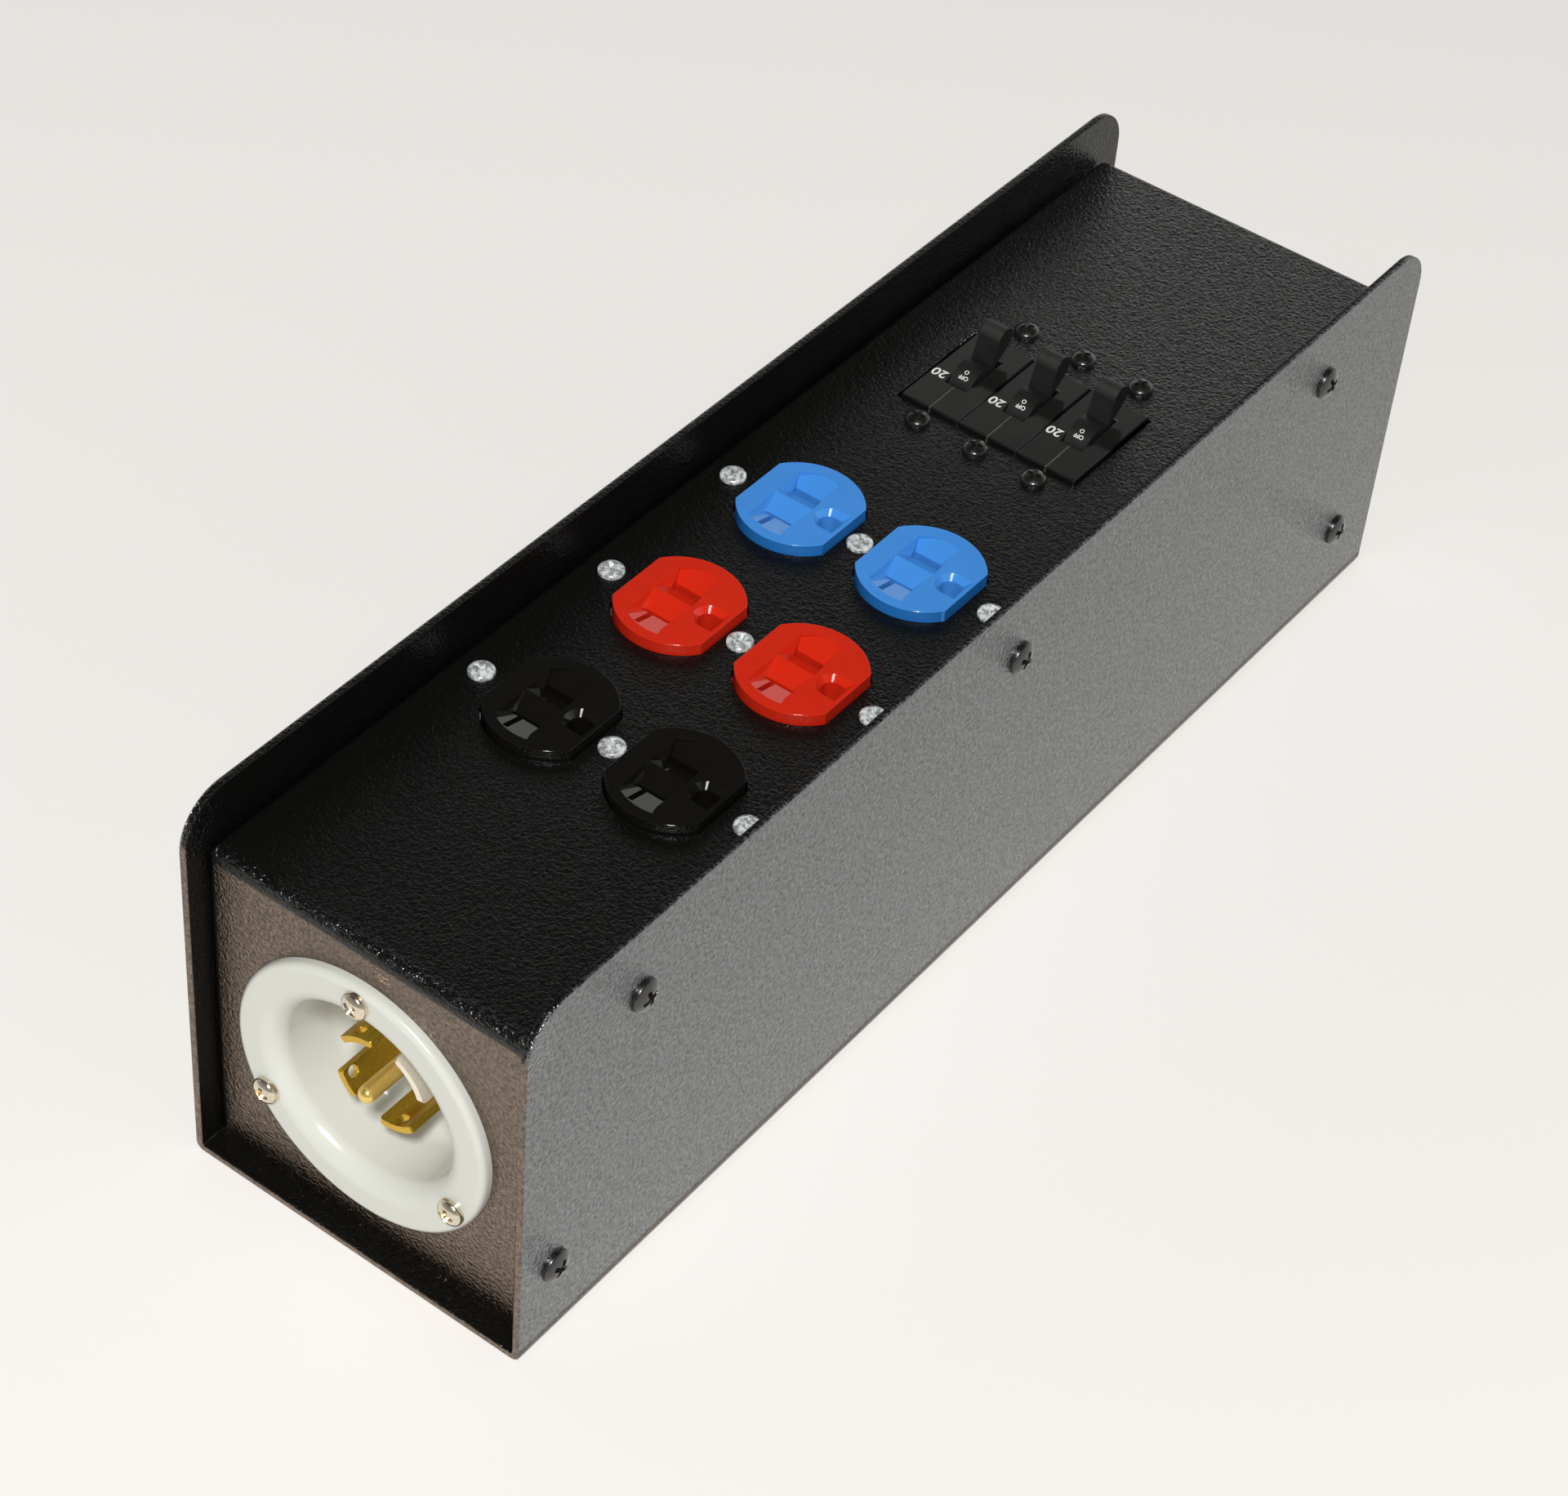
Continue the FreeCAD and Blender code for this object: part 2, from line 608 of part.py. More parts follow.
def side_contact(y, side):
    """Brass contact of one side: a rail with two leaves at each slot and a screw plate."""
    slot = y + side * HOT_DY

    def across(near, far):
        return sorted((y + side * near, y + side * far))

    rail_z = BODY_BOTTOM + 2.2
    rail = box(-RAIL_X, RAIL_X, *across(RAIL_NEAR, RAIL_FAR), rail_z, rail_z + CONTACT_T)
    for x in (-OUTLET_X, OUTLET_X):
        for offset in LEAF_PLACES:
            along = (x + SLOT_LEFT + TOUCH, x + SLOT_RIGHT - TOUCH)
            leaf = (*along, slot + offset, slot + offset + CONTACT_T)
            rail = rail.fuse(box(*leaf, rail_z, LEAF_TOP))
    reach = TERMINAL_X + 4
    rise = RAIL_FAR - CONTACT_T
    half = CONTACT_T / 2
    rail = rail.fuse(box(-reach, reach, *across(rise, RAIL_FAR), rail_z, TERMINAL_Z))
    rail = rail.fuse(box(-reach, reach, *across(rise, PLATE_OUT), TERMINAL_Z - half, TERMINAL_Z + half))
    plate = across(PLATE_OUT - CONTACT_T, PLATE_OUT)
    rail = rail.fuse(box(-reach, reach, *plate, TERMINAL_Z - PLATE_HALF, TERMINAL_Z + PLATE_HALF))
    for x in (-TERMINAL_X, TERMINAL_X):
        start = V(x, y + side * (PLATE_OUT + 1), TERMINAL_Z)
        hole = Part.makeCylinder(CLAMP_SCREW_R + TOUCH, PLATE_HALF, start, V(0, -side, 0))
        rail = rail.cut(hole)
    return rail.removeSplitter()


def ground_contact(y):
    """Brass earth bar on the strap with a sleeve at each ground hole."""
    ends = [side * OUTLET_X + GROUND_DX for side in (-1, 1)]
    span = (ends[0] - 3, ends[1] + 3, y - EARTH_BAR_HALF, y + EARTH_BAR_HALF)
    bar = box(*span, STRAP_TOP, STRAP_TOP + CONTACT_T)
    for x in ends:
        bar = bar.fuse(rod(x, y, STRAP_TOP, Z_DIR, GROUND_R + SLEEVE_WALL, SLEEVE_H))
        bar = bar.cut(rod(x, y, STRAP_TOP + CONTACT_T, Z_DIR, GROUND_R - CLAMP_ROOM, SLEEVE_H))
    return bar.cut(rod(0, y, STRAP_TOP, Z_DIR, SMALL_HOLE_R, 3)).removeSplitter()


def save_receptacles():
    """Three duplex receptacles with their screws and nuts."""
    tops = []
    nuts = [hex_nut(V(x, FRONT + SHEET, z), Y_DIR) for x, z in inlet_screw_places()]
    hot = []
    neutral = []
    earth = []
    clamp = (TERMINAL_HEAD_R, TERMINAL_HEAD_H, CLAMP_SCREW_R)
    for colour, y in ROWS.items():
        name = "receptacle_" + colour
        save(name + "_face", receptacle_face(y))
        save(name + "_body", receptacle_body(y))
        save(name + "_strap", receptacle_strap(y))
        save(name + "_hot_contact", side_contact(y, 1))
        save(name + "_neutral_contact", side_contact(y, -1))
        save(name + "_ground_contact", ground_contact(y))
        for x in (-SCREW_X, 0, SCREW_X):
            length = SHEET + STRAP_T + NUT_H + 0.8 if x else TOP - STRAP_BOTTOM + 1
            size = (RECEPTACLE_HEAD_R, RECEPTACLE_HEAD_H, SMALL_SHANK_R, length)
            tops.append(screw(V(x, y, TOP), -Z_DIR, *size))
            if x:
                nuts.append(hex_nut(V(x, y, UNDER - STRAP_T), -Z_DIR))
        gap = PLATE_OUT + 2 * (THIN_WIRE_R + TOUCH)
        for x in (-TERMINAL_X, TERMINAL_X):
            hot.append(screw(V(x, y + gap, TERMINAL_Z), -Y_DIR, *clamp, TERMINAL_SHANK))
            neutral.append(screw(V(x, y - gap, TERMINAL_Z), Y_DIR, *clamp, TERMINAL_SHANK))
        seat = STRAP_LEG_X + STRAP_T + 2 * (THIN_WIRE_R + TOUCH)
        earth.append(screw(V(seat, y, TERMINAL_Z), -X_DIR, *clamp, EARTH_SHANK))
    save("receptacle_screws", *tops)
    save("panel_nuts", *nuts)
    save("hot_terminal_screws", *hot)
    save("neutral_terminal_screws", *neutral)
    save("ground_terminal_screws", *earth)


# Toggle breakers

def breaker_centres():
    """Centre line of each breaker."""
    return [step * BREAKER_PITCH for step in (-1, 0, 1)]


def breaker_screw_places():
    """Places of the breaker screws as (x, y)."""
    rows = (BREAKER_Y, BREAKER_Y + BREAKER_SPAN)
    return [(x, y) for x in breaker_centres() for y in rows]


def breaker_case(x):
    """Hollow moulded case with a raised face; returned whole, before it is split."""
    half = BREAKER_W / 2
    near = BREAKER_Y - CASE_END
    far = BREAKER_Y + BREAKER_SPAN + CASE_END
    raised = box(x - half, x + half, RAISED_NEAR, RAISED_FAR, UNDER - 2, RAISED_TOP)
    rim = [e for e in raised.Edges if e.BoundBox.ZMin > RAISED_TOP - 0.01]
    raised = raised.makeFillet(RAISED_EDGE, rim)
    case = box(x - half, x + half, near, far, CASE_BOTTOM, UNDER).fuse(raised)
    wall = half - CASE_WALL
    inside = (BREAKER_Y + 5, BREAKER_Y + 48.5, CASE_BOTTOM + CASE_WALL, UNDER - 2)
    case = case.cut(box(x - wall, x + wall, *inside))
    slot = (PIVOT_Y - HANDLE_SLOT_Y, PIVOT_Y + HANDLE_SLOT_Y, UNDER - 3, RAISED_TOP + 1)
    case = case.cut(box(x - HANDLE_SLOT_X, x + HANDLE_SLOT_X, *slot))
    for y in (BREAKER_Y, BREAKER_Y + BREAKER_SPAN):
        case = case.cut(rod(x, y, UNDER - 10, Z_DIR, NUT_BORE_R, 12))
    for y, z in ((PIVOT_Y, PIVOT_Z), (ARM_Y, ARM_Z)):
        reach = PIVOT_PIN_HALF + TOUCH
        pin = rod(x - reach, y, z, X_DIR, PIVOT_PIN_R + 0.02, 2 * reach)
        case = case.cut(pin)
    for y in (LINE_TAB_Y, LOAD_TAB_Y):
        half = TAB_W / 2 + TOUCH
        leg = (x - half, x + half, y - TOUCH, y + TAB_T + TOUCH)
        case = case.cut(box(*leg, CASE_BOTTOM - 1, CASE_BOTTOM + CASE_WALL + 1))
    return case


def breaker_handle(x):
    """Toggle: a round drum on the pivot with a lever that swells to a round end, tilted to off."""
    half = DRUM_W / 2
    profile = ((-LEVER_BASE, LEVER_BASE_U), (-LEVER_KNEE, LEVER_KNEE_U),
               (LEVER_KNEE, LEVER_KNEE_U), (LEVER_BASE, LEVER_BASE_U))
    lever = outline_x([(PIVOT_Y + v, PIVOT_Z + u) for v, u in profile], x - half, x + half)
    lever = lever.fuse(rod(x - half, PIVOT_Y, PIVOT_Z + LEVER_END_U, X_DIR, LEVER_END_R, DRUM_W))
    drum = rod(x - half, PIVOT_Y, PIVOT_Z, X_DIR, DRUM_R, DRUM_W)
    handle = drum.fuse(lever).removeSplitter()
    handle = handle.cut(rod(x - half - 1, PIVOT_Y, PIVOT_Z, X_DIR, PIVOT_BORE_R, DRUM_W + 2))
    handle.rotate(V(x, PIVOT_Y, PIVOT_Z), X_DIR, -LEVER_TILT)
    return handle


def contact_arm(x):
    """The moving contact: a bar on its own pin with a button at its free end."""
    half = ARM_W / 2
    bar = box(x - half, x + half, ARM_Y - ARM_L, ARM_Y, ARM_Z - ARM_T / 2, ARM_Z + ARM_T / 2)
    boss = rod(x - half, ARM_Y, ARM_Z, X_DIR, ARM_BOSS_R, ARM_W)
    low = ARM_Z - ARM_T / 2 - BUTTON_H
    button = rod(x, ARM_Y - ARM_L + BUTTON_BACK, low, Z_DIR, BUTTON_R, BUTTON_H)
    arm = bar.fuse(boss).fuse(button).removeSplitter()
    return arm.cut(rod(x - half - 1, ARM_Y, ARM_Z, X_DIR, PIVOT_BORE_R, ARM_W + 2))


def line_terminal(x):
    """Fixed contact and line tab in one bent strip."""
    half = TAB_W / 2
    low = FIXED_CONTACT_Z - TAB_T
    pad = box(x - half, x + half, LINE_TAB_Y, ARM_Y - ARM_L + 6, low, FIXED_CONTACT_Z)
    return pad.fuse(box(x - half, x + half, LINE_TAB_Y, LINE_TAB_Y + TAB_T, TAB_BOTTOM, low)).removeSplitter()


def load_terminal(x):
    """Load tab with a foot that meets the coil's end."""
    half = TAB_W / 2
    foot = box(x - half, x + half, LOAD_TAB_Y - 2, LOAD_TAB_Y + TAB_T, COIL_Z - 1, COIL_Z - 1 + TAB_T)
    leg = box(x - half, x + half, LOAD_TAB_Y, LOAD_TAB_Y + TAB_T, TAB_BOTTOM, COIL_Z - 1)
    return foot.fuse(leg).removeSplitter()


def coil(x):
    """Magnetic trip coil on a core tube."""
    start = LOAD_TAB_Y - 2.2 - COIL_L
    ring = rod(x, start, COIL_Z, Y_DIR, COIL_R, COIL_L)
    return ring.cut(rod(x, start + 2, COIL_Z, Y_DIR, COIL_R / 2, COIL_L))


def save_breakers():
    """Three single-pole toggle breakers side by side."""
    pins = []
    for number, x in enumerate(breaker_centres(), 1):
        name = "breaker_%d_" % number
        case = breaker_case(x)
        span = (BREAKER_Y - 20, BREAKER_Y + 80, 0, HEIGHT)
        save(name + "case_left", case.common(box(x - BREAKER_PITCH, x, *span)))
        save(name + "case_right", case.common(box(x, x + BREAKER_PITCH, *span)))
        save(name + "handle", breaker_handle(x))
        save(name + "contact_arm", contact_arm(x))
        for y, z in ((PIVOT_Y, PIVOT_Z), (ARM_Y, ARM_Z)):
            pins.append(rod(x - PIVOT_PIN_HALF, y, z, X_DIR, PIVOT_PIN_R, 2 * PIVOT_PIN_HALF))
    save("breaker_pivot_pins", *pins)
    save("breaker_coils", *[coil(x) for x in breaker_centres()])
    save("breaker_line_terminals", *[line_terminal(x) for x in breaker_centres()])
    save("breaker_load_terminals", *[load_terminal(x) for x in breaker_centres()])
    size = (BREAKER_HEAD_R, BREAKER_HEAD_H, SMALL_SHANK_R, SHEET + 7)
    save("breaker_screws", *[screw(V(x, y, TOP), -Z_DIR, *size) for x, y in breaker_screw_places()])


# Wiring and earth bar

def bar_screw_places():
    """Where the earth bar is screwed to the floor, along Y."""
    return [BAR_FIRST + BAR_PITCH * step for step in BAR_SCREW_STEPS]


def earth_bar():
    """Brass bar with a wire hole and a clamp screw for each earth wire."""
    near, far = bar_screw_places()
    bar = box(BAR_X, BAR_X + BAR_W, near - 4, far + 4, SHEET, SHEET + BAR_H)
    for step in range(BAR_WIRES):
        y = BAR_FIRST + BAR_PITCH * step
        bar = bar.cut(rod(BAR_X - 1, y, EARTH_LANE_Z, X_DIR, BAR_HOLE_R, BAR_W + 2))
        bar = bar.cut(rod(BAR_X + BAR_W / 2, y, EARTH_LANE_Z, Z_DIR, NUT_BORE_R, BAR_H))
    for y in bar_screw_places():
        bar = bar.cut(rod(BAR_X + BAR_W / 2, y, 0, Z_DIR, SMALL_HOLE_R, 2 * BAR_H))
    return bar


def earth_bar_screws():
    """Four clamp screws and two fixing screws."""
    middle = BAR_X + BAR_W / 2
    seat_z = SHEET + BAR_H
    screws = []
    head = (BAR_HEAD_R, BAR_HEAD_H, SMALL_SHANK_R)
    for step in range(BAR_WIRES):
        seat = V(middle, BAR_FIRST + BAR_PITCH * step, seat_z)
        length = seat_z - EARTH_LANE_Z - THIN_WIRE_R - TOUCH
        screws.append(screw(seat, -Z_DIR, *head, length))
    for y in bar_screw_places():
        screws.append(screw(V(middle, y, seat_z), -Z_DIR, *head, seat_z - BESIDE_SCREW))
    return screws


def line_wires():
    """From the inlet's live blades along the floor and up to the breakers' line tabs."""
    tab = LINE_TAB_Y + TAB_T / 2
    drops = {"x": (0.0, -104, -50), "y": (-BREAKER_PITCH, -128, -80), "z": (BREAKER_PITCH, -128, -80)}
    wires = []
    for name, (x, leave, land) in drops.items():
        middle = sum(BLADES[name]) / 2
        start = around_inlet(BLADE_CIRCLE, middle, BLADE_BACK + WIRE_START)
        route = (tuple(start), (start.x, leave, start.z), (x, land, LINE_LANE_Z),
                 (x, tab, LINE_LANE_Z), (x, tab, TAB_BOTTOM - BESIDE_SCREW))
        wires.append(wire(route, LINE_WIRE_R))
    return wires


def load_wires():
    """From the breakers' load tabs forward to the receptacles' hot screws."""
    tab = LOAD_TAB_Y + TAB_T / 2
    end_x = TERMINAL_X + CLAMP_SCREW_R + THIN_WIRE_R + BESIDE_SCREW
    end_dy = PLATE_OUT + THIN_WIRE_R + TOUCH
    lanes = {"black": (-BREAKER_PITCH, -30, -50), "red": (0, 6, -10), "blue": (BREAKER_PITCH, 30, 50)}
    wires = []
    for colour, (x, lane, leave) in lanes.items():
        y = ROWS[colour] + end_dy
        z = LOAD_LANE_Z
        route = ((x, tab, TAB_BOTTOM - BESIDE_SCREW), (x, tab, z), (lane, 62, z), (lane, leave, z),
                 (end_x, y, z), (end_x, y, TERMINAL_Z + WIRE_END))
        if colour == "blue":
            route = route[:3] + route[4:]
        wires.append(wire(route, THIN_WIRE_R))
    return wires


def neutral_wires():
    """From the inlet's neutral blade to the first receptacle, and on from one to the next."""
    beside = CLAMP_SCREW_R + THIN_WIRE_R + BESIDE_SCREW
    dy = PLATE_OUT + THIN_WIRE_R + TOUCH
    sides = {colour: y - dy for colour, y in ROWS.items()}
    end = TERMINAL_Z + WIRE_END
    start = around_inlet(BLADE_CIRCLE, sum(BLADES["neutral"]) / 2, BLADE_BACK + WIRE_START)
    right = TERMINAL_X + beside
    wires = [wire((tuple(start), (right, sides["black"], start.z), (right, sides["black"], end)), THIN_WIRE_R)]
    links = (("black", "red", -TERMINAL_X - beside), ("red", "blue", -TERMINAL_X + beside))
    for first, last, x in links:
        route = ((x, sides[first], end), (x, sides[first], NEUTRAL_LANE_Z),
                 (x, sides[last], NEUTRAL_LANE_Z), (x, sides[last], end))
        wires.append(wire(route, THIN_WIRE_R))
    return wires


def ground_wires():
    """From the inlet's earth pin to the earth bar, and from the bar to each receptacle's tab."""
    inside = BAR_X + BAR_W / 2
    clear = BAR_X + BAR_W + 14
    first = BAR_FIRST
    z = EARTH_LANE_Z
    route = ((INLET_X, BLADE_BACK + WIRE_START, INLET_Z), (INLET_X, -130, INLET_Z), (-8, -88, z),
             (clear, first, z), (inside, first, z))
    wires = [wire(route, THIN_WIRE_R)]
    x = STRAP_LEG_X + STRAP_T + THIN_WIRE_R + TOUCH
    for step, y in enumerate(ROWS.values(), 1):
        bar_y = BAR_FIRST + BAR_PITCH * step
        end_y = y + CLAMP_SCREW_R + THIN_WIRE_R + BESIDE_SCREW
        end_z = TERMINAL_Z + WIRE_END
        route = ((inside, bar_y, z), (clear, bar_y, z), (x, end_y, z), (x, end_y, end_z))
        wires.append(wire(route, THIN_WIRE_R))
    return wires


def save_wiring():
    """The fixed wires and the earth bar."""
    save("ground_bar", earth_bar())
    save("ground_bar_screws", *earth_bar_screws())
    save("line_wires", *line_wires())
    save("load_wires", *load_wires())
    save("neutral_wires", *neutral_wires())
    save("ground_wires", *ground_wires())


os.makedirs("parts", exist_ok=True)
save_channel_and_cover()
save_inlet()
save_receptacles()
save_breakers()
save_wiring()
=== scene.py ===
import json
import math

import bmesh
import bpy
from bpy.props import FloatProperty, FloatVectorProperty, PointerProperty, StringProperty
from mathutils import Matrix, Vector


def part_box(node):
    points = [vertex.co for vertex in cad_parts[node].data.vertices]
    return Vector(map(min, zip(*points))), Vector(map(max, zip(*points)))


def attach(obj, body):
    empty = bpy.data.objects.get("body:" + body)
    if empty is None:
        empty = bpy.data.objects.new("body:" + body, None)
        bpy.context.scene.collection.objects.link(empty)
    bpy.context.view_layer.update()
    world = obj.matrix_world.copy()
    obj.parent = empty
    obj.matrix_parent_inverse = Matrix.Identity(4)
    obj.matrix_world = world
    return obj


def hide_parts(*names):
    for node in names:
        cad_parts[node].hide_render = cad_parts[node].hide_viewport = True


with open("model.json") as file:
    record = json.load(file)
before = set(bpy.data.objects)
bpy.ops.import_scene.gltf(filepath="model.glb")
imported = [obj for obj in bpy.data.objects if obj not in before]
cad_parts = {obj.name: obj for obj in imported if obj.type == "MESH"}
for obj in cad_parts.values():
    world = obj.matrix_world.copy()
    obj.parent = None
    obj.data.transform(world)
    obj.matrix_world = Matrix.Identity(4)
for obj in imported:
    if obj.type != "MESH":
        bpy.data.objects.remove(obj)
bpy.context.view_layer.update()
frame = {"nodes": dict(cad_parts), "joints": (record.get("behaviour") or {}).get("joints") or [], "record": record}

bl_info = {
    "name": "Power stringer box",
    "version": (1, 0, 0),
    "blender": (4, 5, 0),
    "location": "View3D > Sidebar > Stringer",
    "description": "Makes the finished pieces of a power stringer box around its packed frame",
    "category": "Object",
}

MM = 0.001
TINY = 0.01 * MM
BODY = "box"
UP = Vector((0, 0, 1))

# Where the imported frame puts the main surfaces
CHANNEL_LOW, CHANNEL_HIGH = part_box("chassis")
LID_LOW, LID_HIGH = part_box("cover")
SHELL_LOW, SHELL_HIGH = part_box("inlet_shell")
TOP = LID_HIGH.z
FRONT = LID_LOW.y
INLET_FACE = SHELL_LOW.y
INLET_X = (SHELL_LOW.x + SHELL_HIGH.x) / 2
INLET_Z = (SHELL_LOW.z + SHELL_HIGH.z) / 2
OUTLETS = ("black", "red", "blue")
# Angles in degrees about the inlet's axis: the blades' ends, and the holes in the live ones
BLADES = {"neutral": (14, 67), "x": (95, 139), "y": (202, 233), "z": (268, 313)}
BLADE_HOLES = {"x": 117, "y": 210, "z": 291}
BREAKERS = (1, 2, 3)
# Marks on a toggle's drum, with their angles from upright in degrees
DRUM_MARKS = (("O", 25), ("OFF", 38), ("I", -98.4), ("ON", -111.4))
# How bright the room is at a height of the view's direction
ROOM_LEVELS = ((0.3, 0.85), (0.5, 0.5), (0.56, 0.34), (0.6, 0.2), (0.64, 0.06), (0.68, 0.03), (1.0, 0.02))


# Settings

def size(name, description, millimetres):
    """A length setting, given in millimetres."""
    return FloatProperty(name=name, description=description, default=millimetres * MM,
                         min=0.0, precision=5, unit="LENGTH")


def turn(name, description, degrees):
    """An angle setting, given in degrees."""
    return FloatProperty(name=name, description=description, default=math.radians(degrees),
                         subtype="ANGLE")


def share(name, description, default):
    """A setting between none and all."""
    return FloatProperty(name=name, description=description, default=default, min=0.0, max=1.0,
                         subtype="FACTOR")


def linear(*screen):
    """A screen colour of 0 to 255 as linear light."""
    steps = (value / 255 for value in screen)
    return tuple(s / 12.92 if s <= 0.04045 else ((s + 0.055) / 1.055) ** 2.4 for s in steps)


def colour(name, description, *screen):
    """A colour setting, given as screen values of 0 to 255."""
    return FloatVectorProperty(name=name, description=description, default=linear(*screen),
                               size=3, min=0.0, max=1.0, subtype="COLOR")


class SheetSettings(bpy.types.PropertyGroup):
    """Folded sheet and its coat"""
    thickness: size("Sheet", "Thickness of the steel sheet", 2.1)
    bend: size("Bend", "Outer radius of the folds", 2.5)
    lip_corner: size("Lip corner", "Radius of the side panels' upper corners", 14.0)
    edge: size("Edge", "Rounding that the coat leaves on cut edges", 0.35)
    top_flange: size("Top flange", "Depth of the lid's side flanges", 16.0)
    end_flange: size("End flange", "Depth of the lid's end flanges", 21.0)
    bar_hole: size("Bar hole", "Radius of the floor's holes for the earth bar's screws", 1.8)
    hole_frame: size("Hole frame", "Half width of the square face around each of these holes", 4.0)
    coat: colour("Coat", "Colour of the textured coat", 12, 12, 11)
    # Painted reflection: the outer sides' reflection gets a pale tint and the front end's a warm tint.
    side_painted_reflection: colour("Side gloss", "Tint of the light that the outer sides throw back", 236, 242, 243)
    front_painted_reflection: colour("Front gloss", "Tint of the light that the front end throws back", 235, 208, 185)
    # Painted shade: a dark tint on the reflection of the bottom bends, up to the height below.
    bend_painted_shade: colour("Bend gloss", "Tint of the light that the bottom bends throw back", 180, 165, 152)
    painted_shade_band_height: size("Bend height", "Height of the band that the bottom bends show", 4.2)
    # Painted reflection: how strongly the front bend reflects, and the top and inner faces at the front and at the
    # rear.
    crest_painted_reflection: share("Crest gloss", "Gloss of the lid's front bend", 0.2)
    near_painted_reflection: share("Near gloss", "Gloss of the top and the inner faces at the front", 0.12)
    far_painted_reflection: share("Far gloss", "Gloss of the top and the inner faces at the rear", 0.5)
    grain: size("Grain", "Width of one grain of the textured coat", 1.0)
    relief: size("Relief", "Height of the coat's grain", 0.3)


class ScrewSettings(bpy.types.PropertyGroup):
    """Cross-recess screws"""
    shank: size("Shank", "Radius of the small screws' shanks", 1.7)
    side_shank: size("Side shank", "Radius of the side screws' shanks", 2.05)
    reach: share("Recess reach", "Half length of the cross recess as a share of the head", 0.7)
    width: share("Recess width", "Half width of the cross recess as a share of the head", 0.17)
    depth: share("Recess depth", "Depth of the cross recess as a share of the head", 0.62)
    black: colour("Black finish", "Colour of the blackened screws", 22, 21, 20)
    zinc: colour("Zinc finish", "Colour of the zinc-plated screws", 232, 238, 238)
    nickel: colour("Nickel finish", "Colour of the nickel-plated screws", 228, 216, 194)
    green: colour("Green finish", "Colour of the earth screws", 62, 128, 78)
    twist: turn("Twist", "How much further each screw is turned than the one before", 137.51)


class InletSettings(bpy.types.PropertyGroup):
    """Round locking inlet"""
    edge: size("Edge", "Rounding of the flange's outer edge", 1.8)
    lip: size("Lip", "Rounding where the flange turns into the cup", 5.5)
    cup_radius: size("Cup radius", "Inner radius of the cup", 26.8)
    cup_wall: size("Cup wall", "Thickness of the cup's wall", 2.8)
    cup_depth: size("Cup depth", "Depth of the cup below the flange's face", 25.5)
    cup_round: size("Cup round", "Rounding between the cup's wall and floor", 7.0)
    hole: size("Panel hole", "Radius of the hole in the lid behind the flange", 30.2)
    blade_circle: size("Blade circle", "Radius of the circle that the blades stand on", 14.0)
    blade_sheet: size("Blade sheet", "Thickness of a blade", 1.9)
    blade_corner: size("Blade corner", "Rounding of a blade's tip corners", 1.6)
    blade_edge: size("Blade edge", "Rounding of a blade's edges", 0.3)
    blade_hole: size("Blade hole", "Radius of the hole near a blade's tip", 1.6)
    hole_setback: size("Hole setback", "From a blade's tip to its hole", 3.0)
    nylon: colour("Nylon", "Colour of the white moulding", 203, 205, 198)
    brass: colour("Brass", "Colour of the brass blades", 222, 183, 66)
    pin: colour("Pin", "Colour of the earth pin", 246, 212, 118)
    nickel: colour("Nickel", "Colour of the neutral blade", 240, 230, 214)
    copper: colour("Copper", "Colour of the breakers' coils", 196, 128, 88)


class OutletSettings(bpy.types.PropertyGroup):
    """Duplex receptacle faces"""
    spread: size("Spread", "From the middle of the duplex to an outlet's centre", 19.45)
    radius: size("Radius", "Radius of an outlet's face", 17.15)
    flat: size("Flat", "From an outlet's centre to its flats", 14.3)
    height: size("Height", "Height of the face above the lid", 3.05)
    edge: size("Edge", "Rounding of the face's edge", 0.65)
    gap: size("Gap", "Gap between a face and the hole in the lid", 0.45)
    crease: size("Crease", "Rounding of the recess's edges", 0.16)
    base: size("Base", "Thickness of the moulding behind the lid", 8.7)
    base_half: size("Base half", "Half length of the moulding behind the lid", 33.5)
    slot: size("Slot", "From an outlet's centre line to its slots", 6.4)
    slot_width: size("Slot width", "Width of a slot", 2.0)
    slot_left: size("Slot left", "From an outlet's centre to the slots' left ends", 6.8)
    slot_right: size("Slot right", "From an outlet's centre to the slots' right ends", 1.3)
    leg_left: size("Leg left", "From an outlet's centre to the left side of the T slot's leg", 4.3)
    leg_right: size("Leg right", "From an outlet's centre to the right side of the T slot's leg", 2.7)
    leg_end: size("Leg end", "From an outlet's centre line to the end of the T slot's leg", 13.4)
    ridge: size("Ridge", "Height of the ridge between the slots", 3.0)
    ramp: size("Ramp", "Radius of the recess's edge beyond the straight slot", 13.1)
    strip: size("Strip", "Radius of the recess's edge beyond the T slot", 14.3)
    strip_low: size("Strip low", "Height above the lid where the strip beyond the T slot starts", 1.2)
    left: size("Recess left", "From an outlet's centre to the recess's left edge", 8.15)
    right: size("Recess right", "From an outlet's centre to the recess's right edge", 3.8)
    left_lean: size("Left lean", "How far the recess's left wall leans in", 1.35)
    right_lean: size("Right lean", "How far the recess's right wall leans in", 2.55)
    ground: size("Ground hole", "From an outlet's centre to its ground hole", 9.2)
    ground_radius: size("Ground radius", "Radius of the ground hole's round side", 2.75)
    ground_flat: size("Ground flat", "From the ground hole's centre to its flat side", 2.35)
    mouth_floor: size("Mouth floor", "Height above the lid where the ground hole starts to flare", 1.45)
    mouth_shift: size("Mouth shift", "How far the flared mouth moves to its flat side", 0.35)
    mouth: FloatProperty(name="Mouth", description="How much wider the ground hole is at its mouth",
                         default=1.6, min=1.0)
    black: colour("Black moulding", "Colour of the black faces", 17, 16, 14)
    red: colour("Red moulding", "Colour of the red faces", 197, 38, 18)
    blue: colour("Blue moulding", "Colour of the blue faces", 64, 135, 212)
    # Painted shade: the blue faces' outer walls get a darker blue.
    blue_wall_painted_shade: colour("Blue wall", "Colour of the blue faces' outer walls", 36, 110, 186)


